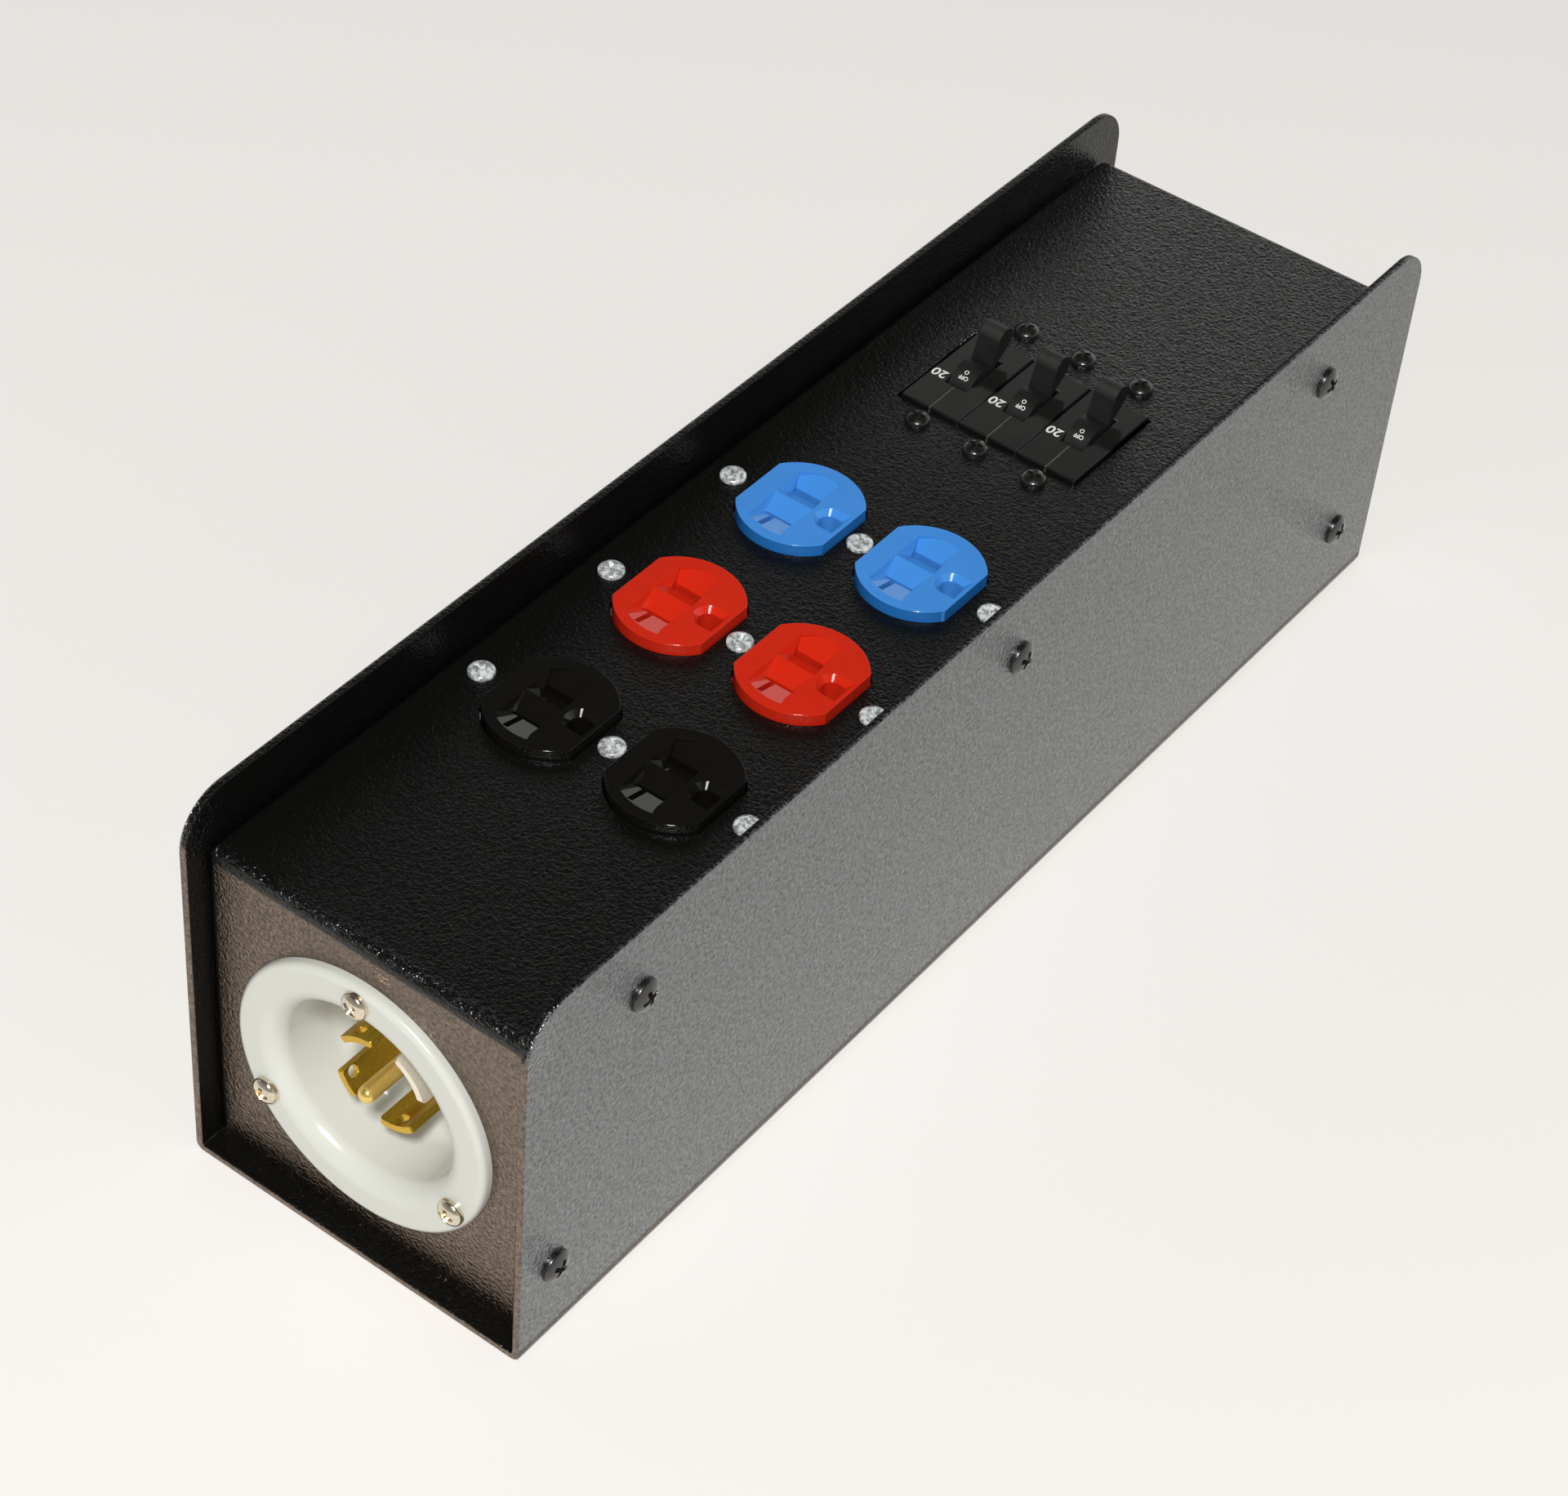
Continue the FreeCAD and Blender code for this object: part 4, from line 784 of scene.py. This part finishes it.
def channel_shape(sheet):
    """The folded channel: floor and side panels, with rounded lip corners."""
    low, high = CHANNEL_LOW, CHANNEL_HIGH
    section = ((low.x, high.z), (low.x, low.z), (high.x, low.z), (high.x, high.z))
    bm = bmesh.new()
    corners = line(bm, [(x, low.y, z) for x, z in section])
    round_corners(bm, corners[1:3], sheet.bend, 6)
    pulled = bmesh.ops.extrude_edge_only(bm, edges=bm.edges[:])["geom"]
    bmesh.ops.translate(bm, vec=(0, high.y - low.y, 0), verts=moved(pulled))
    lips = [vert for vert in bm.verts if vert.co.z > high.z - TINY]
    round_corners(bm, lips, sheet.lip_corner, 14)
    bmesh.ops.recalc_face_normals(bm, faces=bm.faces)
    bmesh.ops.solidify(bm, geom=bm.faces[:], thickness=sheet.thickness)
    depth = 2 * sheet.thickness * UP
    holes = []
    for start, end in solids("ground_bar_screws"):
        if start.z < sheet.thickness:
            middle = ((start + end) / 2) * Vector((1, 1, 0))
            frame_hole(bm, middle, sheet.hole_frame)
            holes.append(rod(middle - depth, middle + depth, sheet.bar_hole, steps=24))
    return combine(bm, holes)


def lid_shape(sheet, outlet, inlet, breaker):
    """The folded lid: top, ends and side flanges, with its openings."""
    low, high = LID_LOW, LID_HIGH
    bm = block(low, high)
    bends = edges_where(bm, lambda co: co.z > high.z - TINY)
    bends += [edge for edge in bm.edges if abs(edge.verts[0].co.z - edge.verts[1].co.z) > TINY]
    round_edges(bm, bends, sheet.bend, 6)
    under = [face for face in bm.faces if face.normal.z < -0.9]
    bmesh.ops.delete(bm, geom=under, context="FACES")
    bmesh.ops.recalc_face_normals(bm, faces=bm.faces)
    bmesh.ops.solidify(bm, geom=bm.faces[:], thickness=sheet.thickness)
    beyond = 2 * sheet.bend
    tools = [block((2 * low.x, low.y + sheet.end_flange, low.z - beyond),
                   (2 * high.x, high.y - sheet.end_flange, high.z - sheet.top_flange))]
    tools.append(rod((INLET_X, FRONT - beyond, INLET_Z), (INLET_X, FRONT + beyond, INLET_Z),
                     inlet.hole, steps=96))
    for name in OUTLETS:
        for x in (-outlet.spread, outlet.spread):
            tools.append(flatted_disc(x, outlet_row(name), outlet.radius + outlet.gap,
                                      outlet.flat + outlet.gap, TOP - beyond, TOP + beyond))
    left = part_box("breaker_1_case_left")[0].x - breaker.left_gap
    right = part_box("breaker_3_case_right")[1].x + breaker.gap
    near = breaker_row() + breaker.near - breaker.gap
    far = near + breaker.long + 2 * breaker.gap
    tools.append(block((left, near, TOP - beyond), (right, far, TOP + beyond)))
    return combine(bm, tools)


def outlet_row(name):
    """Where the middle of a duplex lies along Y."""
    low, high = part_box("receptacle_%s_face" % name)
    return (low.y + high.y) / 2


def breaker_row():
    """Where the breakers' near screws lie along Y."""
    return min((low.y + high.y) / 2 for low, high in solids("breaker_screws"))


# Screws

def screw_shape(radius, height, shank, length, screw):
    """A pan-head screw along +Z, seated at the origin, with a tapered cross recess."""
    crown, brow = (0.6 * radius, 0.97 * height), (radius, 0.45 * height)
    point = 0.4 * shank
    profile = ((0, height), crown, brow, (radius, 0), (shank, 0), (shank, 2 * point - length),
               (point, -length), (0, -length))
    head = revolve(profile, {1: 0.34 * radius, 2: 0.2 * height}, 40)
    reach = screw.reach * radius
    width = screw.width * radius
    floor = (1 - screw.depth) * height
    arms = []
    for quarter in (0, math.pi / 2):
        arm = block((-reach, -width, floor), (reach, width, 1.2 * height))
        deep = [vert for vert in arm.verts if vert.co.z < height / 2]
        bmesh.ops.scale(arm, vec=(0.5, 0.7, 1), verts=deep)
        bmesh.ops.rotate(arm, matrix=Matrix.Rotation(quarter, 3, "Z"), verts=arm.verts)
        arms.append(arm)
    return combine(head, arms)


def screws(name, node, axis, surface, shank, slot):
    """All screws of one node; each solid gives a place and a size, and each is turned differently.

    The surface is where the heads sit along the axis; its sign is the way the heads face,
    and a node with screws on both sides of the box has them on the mirrored surface too."""
    screw = bpy.context.scene.stringer_screws
    shapes = []
    for number, (low, high) in enumerate(solids(node)):
        place = (low + high) / 2
        facing = 1 if place[axis] > 0 else -1
        head, tip = (high, low) if facing > 0 else (low, high)
        seat_at = facing * abs(surface)
        across = (axis + 1) % 3
        shape = screw_shape((high[across] - low[across]) / 2, abs(head[axis] - seat_at), shank,
                            abs(seat_at - tip[axis]), screw)
        place[axis] = seat_at
        outward = Vector((0, 0, 0))
        outward[axis] = facing
        bmesh.ops.transform(shape, matrix=seat(place, outward, screw.twist * number), verts=shape.verts)
        shapes.append(shape)
    return piece(name, gather(shapes), finish(slot), [node])


# Round locking inlet

def flange_shape(inlet):
    """White flange and cup in one moulding, made along the inlet's axis."""
    face = FRONT - INLET_FACE
    floor = face - inlet.cup_depth
    back = FRONT - SHELL_HIGH.y
    rim = (SHELL_HIGH.x - SHELL_LOW.x) / 2
    outside = inlet.cup_radius + inlet.cup_wall
    profile = ((0, floor), (inlet.cup_radius, floor), (inlet.cup_radius, face), (rim, face),
               (rim, 0), (outside, 0), (outside, back), (0, back))
    bm = revolve(profile, {1: inlet.cup_round, 2: inlet.lip, 3: inlet.edge}, 128)
    bmesh.ops.transform(bm, matrix=seat((INLET_X, FRONT, INLET_Z), (0, -1, 0)), verts=bm.verts)
    return bm


def around_inlet(radius, angle, y):
    """A point at a radius and an angle in degrees about the inlet's axis, seen from the front."""
    rise = math.radians(angle)
    return Vector((INLET_X + radius * math.cos(rise), y, INLET_Z + radius * math.sin(rise)))


def curved_plate(first, last, inner, outer, tip, back):
    """A plate curved round the inlet's axis between two angles and two radii."""
    bm = bmesh.new()
    line(bm, [around_inlet(inner, first, tip), around_inlet(outer, first, tip)])
    bmesh.ops.spin(bm, geom=bm.verts[:] + bm.edges[:], cent=(INLET_X, tip, INLET_Z), axis=(0, -1, 0),
                   angle=math.radians(last - first), steps=12, use_merge=False)
    pulled = bmesh.ops.extrude_face_region(bm, geom=bm.faces[:])["geom"]
    bmesh.ops.translate(bm, vec=(0, back - tip, 0), verts=moved(pulled))
    bmesh.ops.recalc_face_normals(bm, faces=bm.faces)
    return bm


def blade_shape(name, inlet):
    """One curved blade with rounded tip corners; the live ones have a hole near the tip."""
    first, last = BLADES[name]
    low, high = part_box("inlet_blade_" + name)
    inner = inlet.blade_circle - inlet.blade_sheet / 2
    outer = inlet.blade_circle + inlet.blade_sheet / 2
    bm = curved_plate(first, last, inner, outer, low.y, high.y)
    for angle in (first, last):
        ends = [around_inlet(radius, angle, low.y) for radius in (inner, outer)]
        corner = edges_where(bm, lambda co: any((co - end).length < TINY for end in ends))
        round_edges(bm, corner, inlet.blade_corner, 5)
    if name not in BLADE_HOLES:
        return bm
    angle = BLADE_HOLES[name]
    y = low.y + inlet.hole_setback
    hole = rod(around_inlet(0, angle, y), around_inlet(2 * outer, angle, y), inlet.blade_hole, steps=32)
    return combine(bm, [hole])


def pin_shape():
    """Round earth pin with a domed tip."""
    low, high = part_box("inlet_ground_pin")
    radius = (high.x - low.x) / 2
    long = high.y - low.y
    bm = revolve(((0, long), (radius, long), (radius, 0), (0, 0)), {1: 0.99 * radius}, 40)
    bmesh.ops.transform(bm, matrix=seat((INLET_X, high.y, INLET_Z), (0, -1, 0)), verts=bm.verts)
    return bm


# Duplex receptacles

def recess_shape(x, y, outlet):
    """The hollow round one outlet's blade slots: a ramp down to each slot and a ridge between them."""
    near = outlet.slot - outlet.slot_width / 2
    far = outlet.slot + outlet.slot_width / 2
    rim, above = outlet.height, outlet.height + MM
    profile = ((outlet.ramp, above), (outlet.ramp, rim), (far, 0), (near, 0), (0, outlet.ridge),
               (-near, 0), (-far, 0), (-far, outlet.strip_low), (-outlet.strip, rim),
               (-outlet.strip, above))
    wide = outlet.left + outlet.right
    bm = slab([(x - outlet.left, y + dy, TOP + dz) for dy, dz in profile], (wide, 0, 0))
    across = [edge for edge in bm.edges if abs(edge.verts[0].co.x - edge.verts[1].co.x) > TINY]
    bmesh.ops.subdivide_edges(bm, edges=across, cuts=15)
    for vert in bm.verts:
        drop = max(0.0, 1 - (vert.co.z - TOP) / rim)
        left = outlet.left_lean * drop - outlet.left
        right = outlet.right - outlet.right_lean * drop
        dx = left + (right - left) * (vert.co.x - x + outlet.left) / wide
        dy = vert.co.y - y
        if abs(dy) > far + TINY:
            low = 0.0 if dy > 0 else outlet.strip_low
            slope = (rim - low) / (abs(dy) - far)
            dy = math.copysign(math.sqrt(dy * dy - dx * dx), dy)
            if vert.co.z < TOP + rim + TINY:
                vert.co.z = TOP + low + slope * (abs(dy) - far)
        vert.co.x, vert.co.y = x + dx, y + dy
    bmesh.ops.triangulate(bm, faces=bm.faces[:])
    return bm


def ground_hole(x, y, under, outlet):
    """A ground hole and its flared mouth, both round on one side and flat on the other."""
    middle = x + outlet.ground
    radius, flat = outlet.ground_radius, outlet.ground_flat
    half_turn = [math.radians(angle) for angle in range(90, 271, 10)]
    outline = [(radius * math.cos(angle), radius * math.sin(angle)) for angle in half_turn]
    outline += [(flat, -radius), (flat, radius)]
    above = outlet.height + MM
    floor = outlet.mouth_floor
    hole = slab([(middle + dx, y + dy, under) for dx, dy in outline], (0, 0, TOP + above - under))
    mouth = slab([(middle + dx, y + dy, TOP + floor) for dx, dy in outline], (0, 0, above - floor))
    flare = (above - floor) / (outlet.height - floor)
    grow = 1 + (outlet.mouth - 1) * flare
    for vert in mouth.verts:
        if vert.co.z > TOP + floor + TINY:
            vert.co.x = middle + grow * (vert.co.x - middle) + flare * outlet.mouth_shift
            vert.co.y = y + grow * (vert.co.y - y)
    return [hole, mouth]


def outlet_shape(name, outlet):
    """Front moulding of a duplex: two faces on one base, with recesses, slots and ground holes."""
    y = outlet_row(name)
    low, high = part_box("receptacle_%s_face" % name)
    top = TOP + outlet.height
    below = low.z - MM
    half = outlet.slot_width / 2
    bm = block((-outlet.base_half, low.y, low.z), (outlet.base_half, high.y, low.z + outlet.base))
    faces = []
    tools = []
    for x in (-outlet.spread, outlet.spread):
        disc = flatted_disc(x, y, outlet.radius, outlet.flat, low.z + outlet.base / 2, top)
        round_edges(disc, edges_where(disc, lambda co: co.z > top - TINY), outlet.edge, 6)
        faces.append(disc)
        tools.append(recess_shape(x, y, outlet))
        for middle in (y + outlet.slot, y - outlet.slot):
            tools.append(block((x - outlet.slot_left, middle - half, below),
                               (x + outlet.slot_right, middle + half, top)))
        tools.append(block((x - outlet.leg_left, y - outlet.leg_end, below),
                           (x - outlet.leg_right, y - outlet.slot, top)))
        tools += ground_hole(x, y, below, outlet)
    bm = combine(bm, faces, "UNION")
    return combine(bm, tools)


def paint_wall_shade(made, y, outlet):
    """Give the outer walls of a duplex's faces their second finish, a darker colour painted as shade on the walls.
    """
    for face in made.data.polygons:
        aside = abs(abs(face.center.x) - outlet.spread)
        reach = math.hypot(aside, face.center.y - y)
        outer = aside > outlet.flat - 10 * TINY or reach > outlet.radius - 10 * TINY
        if outer and abs(face.normal.z) < 0.5 and face.center.z > TOP - outlet.height:
            face.material_index = 1


# Toggle breakers

def case_shape(number, breaker, sheet):
    """A hollow breaker case with a raised face and a toggle slot, before it is split."""
    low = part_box("breaker_%d_case_left" % number)[0]
    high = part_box("breaker_%d_case_right" % number)[1]
    x = (low.x + high.x) / 2
    under = TOP - sheet.thickness
    near = breaker_row() + breaker.near
    raised = block((low.x, near, under - breaker.wall), (high.x, near + breaker.long, high.z))
    body = block(low, (high.x, high.y, under))
    pivot = toggle_pivot(number)
    inside = block((low.x + breaker.wall, low.y + breaker.near_block, low.z + breaker.wall),
                   (high.x - breaker.wall, high.y - breaker.far_block, under - breaker.wall))
    slot = block((x - breaker.slot_side, pivot.y - breaker.slot, under - 1.5 * breaker.wall),
                 (x + breaker.slot_side, pivot.y + breaker.slot, high.z + MM))
    return combine(combine(body, [raised], "UNION"), [inside, slot])


def toggle_pivot(number):
    """The pivot of a toggle, from its joint."""
    joint = [joint for joint in frame["joints"] if joint["name"] == "toggle_%d" % number][0]
    return Vector(joint["pos_m"])


def toggle_shape(number, breaker):
    """A round drum on the pivot with a lever that swells to a round end, leaning to the off side."""
    pivot = toggle_pivot(number)
    half = breaker.width / 2
    base, start = breaker.lever_base, breaker.lever_start
    end, reach = breaker.lever_end, breaker.lever_reach
    steps = 24
    sweep = math.pi + 2 * breaker.lever_taper
    angles = [sweep * step / steps - breaker.lever_taper for step in range(steps + 1)]
    outline = [(base, start)]
    outline += [(end * math.cos(angle), reach + end * math.sin(angle)) for angle in angles]
    outline += [(-base, start)]
    lever = slab([(-half, y, z) for y, z in outline], (breaker.width, 0, 0))
    drum = rod((-half, 0, 0), (half, 0, 0), breaker.drum, steps=96)
    bore = rod((-breaker.width, 0, 0), (breaker.width, 0, 0), breaker.bore, steps=24)
    bm = combine(combine(drum, [lever], "UNION"), [bore])
    lean = Matrix.Translation(pivot) @ Matrix.Rotation(-breaker.tilt, 4, "X")
    bmesh.ops.transform(bm, matrix=lean, verts=bm.verts)
    return bm


def lettering(text, height, weight=0.02):
    """Flat lettering of a given height and weight about the origin, as a shape."""
    curve = bpy.data.curves.new("lettering", "FONT")
    curve.body = text
    curve.align_x = "CENTER"
    curve.align_y = "CENTER"
    curve.offset = weight
    helper = bpy.data.objects.new("lettering", curve)
    bpy.context.scene.collection.objects.link(helper)
    graph = bpy.context.evaluated_depsgraph_get()
    mesh = bpy.data.meshes.new_from_object(helper.evaluated_get(graph))
    bm = bmesh.new()
    bm.from_mesh(mesh)
    bpy.data.meshes.remove(mesh)
    bpy.data.curves.remove(curve)
    rows = [vert.co.y for vert in bm.verts]
    middle = (min(rows) + max(rows)) / 2
    grow = height / (max(rows) - min(rows))
    bmesh.ops.translate(bm, vec=(0, -middle, 0), verts=bm.verts)
    bmesh.ops.scale(bm, vec=(grow, grow, 1), verts=bm.verts)
    return bm


def rating_print(number, breaker):
    """The rating beside a toggle, read from the rear end."""
    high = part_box("breaker_%d_case_left" % number)[1]
    bm = lettering(breaker.rating, breaker.digit)
    place = Vector((toggle_pivot(number).x - breaker.digit_aside, breaker_row() + breaker.digit_along,
                    high.z + 2 * TINY))
    turned = Matrix.Translation(place) @ Matrix.Rotation(math.pi, 4, "Z")
    bmesh.ops.transform(bm, matrix=turned, verts=bm.verts)
    return bm


def drum_print(number, breaker):
    """On and off marks wrapped round a toggle's drum."""
    pivot = toggle_pivot(number)
    radius = breaker.drum + 2 * TINY
    shapes = []
    for text, angle in DRUM_MARKS:
        bm = lettering(text, breaker.letter)
        for vert in bm.verts:
            lean = math.radians(angle) + vert.co.y / radius
            vert.co = pivot + Vector((-vert.co.x, -radius * math.sin(lean), radius * math.cos(lean)))
        shapes.append(bm)
    return gather(shapes)


# Operators

class PieceOperator:
    """What every operator that makes pieces shares"""
    bl_options = {"REGISTER", "UNDO"}


class STRINGER_OT_channel(PieceOperator, bpy.types.Operator):
    """Make the folded channel"""
    bl_idname = "stringer.channel"
    bl_label = "Channel"

    def execute(self, context):
        sheet = context.scene.stringer_sheet
        piece("channel", channel_shape(sheet), finish("powder_coat"), ["chassis"],
              edge=sheet.edge)
        return {"FINISHED"}


class STRINGER_OT_lid(PieceOperator, bpy.types.Operator):
    """Make the folded lid"""
    bl_idname = "stringer.lid"
    bl_label = "Lid"

    def execute(self, context):
        scene = context.scene
        sheet = scene.stringer_sheet
        shape = lid_shape(sheet, scene.stringer_outlets, scene.stringer_inlet, scene.stringer_breakers)
        piece("lid", shape, finish("powder_coat"), ["cover"], edge=sheet.edge)
        return {"FINISHED"}


class STRINGER_OT_screws(PieceOperator, bpy.types.Operator):
    """Make the screws that show: sides, inlet, receptacles and breakers"""
    bl_idname = "stringer.screws"
    bl_label = "Screws"

    def execute(self, context):
        screw = context.scene.stringer_screws
        screws("lid_screws", "side_screws", 0, CHANNEL_HIGH.x, screw.side_shank, "black_screw")
        screws("flange_screws", "inlet_screws", 1, INLET_FACE, screw.shank, "nickel")
        screws("outlet_screws", "receptacle_screws", 2, TOP, screw.shank, "zinc_steel")
        screws("breaker_fixings", "breaker_screws", 2, TOP, screw.shank, "black_screw")
        return {"FINISHED"}


class STRINGER_OT_inlet(PieceOperator, bpy.types.Operator):
    """Make the inlet's flange and cup"""
    bl_idname = "stringer.inlet"
    bl_label = "Inlet flange"

    def execute(self, context):
        shape = flange_shape(context.scene.stringer_inlet)
        piece("inlet_flange", shape, finish("white_nylon"), ["inlet_shell"])
        return {"FINISHED"}


class STRINGER_OT_blades(PieceOperator, bpy.types.Operator):
    """Make the inlet's blades and its earth pin"""
    bl_idname = "stringer.blades"
    bl_label = "Inlet blades"

    def execute(self, context):
        inlet = context.scene.stringer_inlet
        pale = plated("blade nickel", inlet.nickel, 0.25, 0.04, 3 * MM, 0.6)
        for name in BLADES:
            slot = "nickel" if name == "neutral" else "brass"
            skin = pale if name == "neutral" else finish(slot)
            piece("blade_" + name, blade_shape(name, inlet), skin,
                  ["inlet_blade_" + name], edge=inlet.blade_edge)
        bright = rolled_metal("pin brass", inlet.pin, 0.2, 0.75)
        piece("earth_pin", pin_shape(), bright, ["inlet_ground_pin"])
        return {"FINISHED"}


class STRINGER_OT_outlets(PieceOperator, bpy.types.Operator):
    """Make the faces of the three duplex receptacles"""
    bl_idname = "stringer.outlets"
    bl_label = "Outlets"

    def execute(self, context):
        outlet = context.scene.stringer_outlets
        for name in OUTLETS:
            slot = name + "_moulding"
            made = piece("outlet_" + name, outlet_shape(name, outlet), finish(slot),
                         ["receptacle_%s_face" % name], edge=outlet.crease, sharp=28)
            # Painted shade: the blue duplex's outer walls get a darker blue than its faces.
            if name == "blue":
                made.data.materials.append(moulded("blue wall painted shade", outlet.blue_wall_painted_shade, 0.11))
                paint_wall_shade(made, outlet_row(name), outlet)
        return {"FINISHED"}


class STRINGER_OT_breakers(PieceOperator, bpy.types.Operator):
    """Make the breakers' case halves"""
    bl_idname = "stringer.breakers"
    bl_label = "Breaker cases"

    def execute(self, context):
        breaker = context.scene.stringer_breakers
        for number in BREAKERS:
            for side in ("left", "right"):
                node = "breaker_%d_case_%s" % (number, side)
                low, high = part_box(node)
                beyond = Vector((MM, MM, MM))
                low, high = low - beyond, high + beyond
                if side == "left":
                    high.x -= MM
                else:
                    low.x += MM
                case = case_shape(number, breaker, context.scene.stringer_sheet)
                half = combine(case, [block(low, high)], "INTERSECT")
                piece("breaker_%d_half_%s" % (number, side), half, finish("breaker_moulding"),
                      [node], edge=breaker.edge)
        return {"FINISHED"}


class STRINGER_OT_toggles(PieceOperator, bpy.types.Operator):
    """Make the toggles and the print on them"""
    bl_idname = "stringer.toggles"
    bl_label = "Toggles"

    def execute(self, context):
        breaker = context.scene.stringer_breakers
        ink = printed("white ink", breaker.ink)
        for number in BREAKERS:
            body = "handle_%d" % number
            satin = toggle_moulding("toggle moulding %d" % number, number, breaker)
            piece("toggle_%d" % number, toggle_shape(number, breaker), satin,
                  ["breaker_%d_handle" % number], body, breaker.edge)
            piece("toggle_print_%d" % number, drum_print(number, breaker), ink, body=body)
            piece("rating_print_%d" % number, rating_print(number, breaker), ink)
        return {"FINISHED"}


class STRINGER_OT_inner(PieceOperator, bpy.types.Operator):
    """Give the pieces inside their finishes"""
    bl_idname = "stringer.inner"
    bl_label = "Inner pieces"

    def execute(self, context):
        for part in frame["record"]["subparts"]:
            node = frame["nodes"][part["node"]]
            node.data.materials.clear()
            node.data.materials.append(finish(part["material_slot"]))
        return {"FINISHED"}


class STRINGER_OT_stage(PieceOperator, bpy.types.Operator):
    """Set up the floor, the light and the camera"""
    bl_idname = "stringer.stage"
    bl_label = "Stage"

    def execute(self, context):
        stage = context.scene.stringer_stage
        make_floor(stage)
        make_light(stage)
        make_camera(stage)
        context.scene.view_settings.view_transform = "Standard"
        return {"FINISHED"}


# Stage

def make_floor(stage):
    """A wide pale floor under the box."""
    bm = bmesh.new()
    bmesh.ops.create_grid(bm, x_segments=1, y_segments=1, size=stage.floor_size / 2)
    floor = loose_object(bm, "floor")
    made, tree, shader, place = start_finish("pale floor", Roughness=0.6, Specular_IOR_Level=0.2)
    cloud = noise(tree, place, 0.6)
    feed(tree, shader.inputs["Base Color"], tones(tree, cloud, shaded(stage.floor, 0.985), stage.floor))
    floor.data.materials.append(made)


def round_lamp(name, power, width, place, tint):
    """A round lamp that faces the origin."""
    disc = bpy.data.lights.new(name, "AREA")
    disc.shape = "DISK"
    disc.size = width
    disc.energy = power
    disc.color = tint
    lamp = bpy.data.objects.new(name, disc)
    lamp.location = place
    lamp.rotation_euler = Vector(place).to_track_quat("Z", "Y").to_euler()
    bpy.context.scene.collection.objects.link(lamp)


def make_light(stage):
    """A key light above the camera, a flash behind it, and a room that is dark above."""
    round_lamp("key", stage.key, stage.key_size, stage.key_from, stage.lamp)
    round_lamp("flash", stage.flash, stage.flash_size, stage.flash_from, stage.lamp)
    world = bpy.data.worlds.new("room")
    world.use_nodes = True
    tree = world.node_tree
    direction = add(tree, "TexCoord").outputs["Generated"]
    parts = add(tree, "SeparateXYZ", Vector=direction).outputs
    ramp = add(tree, "ValToRGB", Fac=parts["Z"])
    stops = ramp.color_ramp.elements
    while len(stops) < len(ROOM_LEVELS):
        stops.new(0.5)
    for stop, (height, level) in zip(stops, ROOM_LEVELS):
        stop.position = height
        stop.color = (level, level, 0.97 * level, 1.0)
    background = tree.nodes["Background"].inputs
    feed(tree, background["Color"], ramp.outputs["Color"])
    feed(tree, background["Strength"], spread(tree, parts["Y"], 0.3, 1.0, -0.6, 0.2))
    bpy.context.scene.world = world


def make_camera(stage):
    """A camera where the reference picture was taken from."""
    lens = bpy.data.cameras.new("camera")
    lens.lens = stage.lens
    lens.clip_start = 0.01
    camera = bpy.data.objects.new("camera", lens)
    camera.location = stage.place
    camera.rotation_euler = stage.angles
    bpy.context.scene.collection.objects.link(camera)
    bpy.context.scene.camera = camera


# Registration

GROUPS = {"sheet": SheetSettings, "screws": ScrewSettings, "inlet": InletSettings,
          "outlets": OutletSettings, "wires": WireSettings, "breakers": BreakerSettings,
          "stage": StageSettings}
STEPS = (STRINGER_OT_channel, STRINGER_OT_lid, STRINGER_OT_screws, STRINGER_OT_inlet, STRINGER_OT_blades,
         STRINGER_OT_outlets, STRINGER_OT_breakers, STRINGER_OT_toggles, STRINGER_OT_inner,
         STRINGER_OT_stage)


class STRINGER_PT_panel(bpy.types.Panel):
    """The steps that make the box, and their settings"""
    bl_idname = "STRINGER_PT_panel"
    bl_label = "Power stringer box"
    bl_space_type = "VIEW_3D"
    bl_region_type = "UI"
    bl_category = "Stringer"

    def draw(self, context):
        for step in STEPS:
            self.layout.operator(step.bl_idname)
        for name in GROUPS:
            settings = getattr(context.scene, "stringer_" + name)
            box = self.layout.box()
            for key in settings.__annotations__:
                box.prop(settings, key)


CLASSES = (*GROUPS.values(), *STEPS, STRINGER_PT_panel)


def register():
    for cls in CLASSES:
        bpy.utils.register_class(cls)
    for name, group in GROUPS.items():
        setattr(bpy.types.Scene, "stringer_" + name, PointerProperty(type=group))


def unregister():
    for name in GROUPS:
        delattr(bpy.types.Scene, "stringer_" + name)
    for cls in reversed(CLASSES):
        bpy.utils.unregister_class(cls)


def main():
    """Register, and make every piece in order."""
    register()
    for step in STEPS:
        area, name = step.bl_idname.split(".")
        getattr(getattr(bpy.ops, area), name)()


if __name__ == "__main__":
    main()
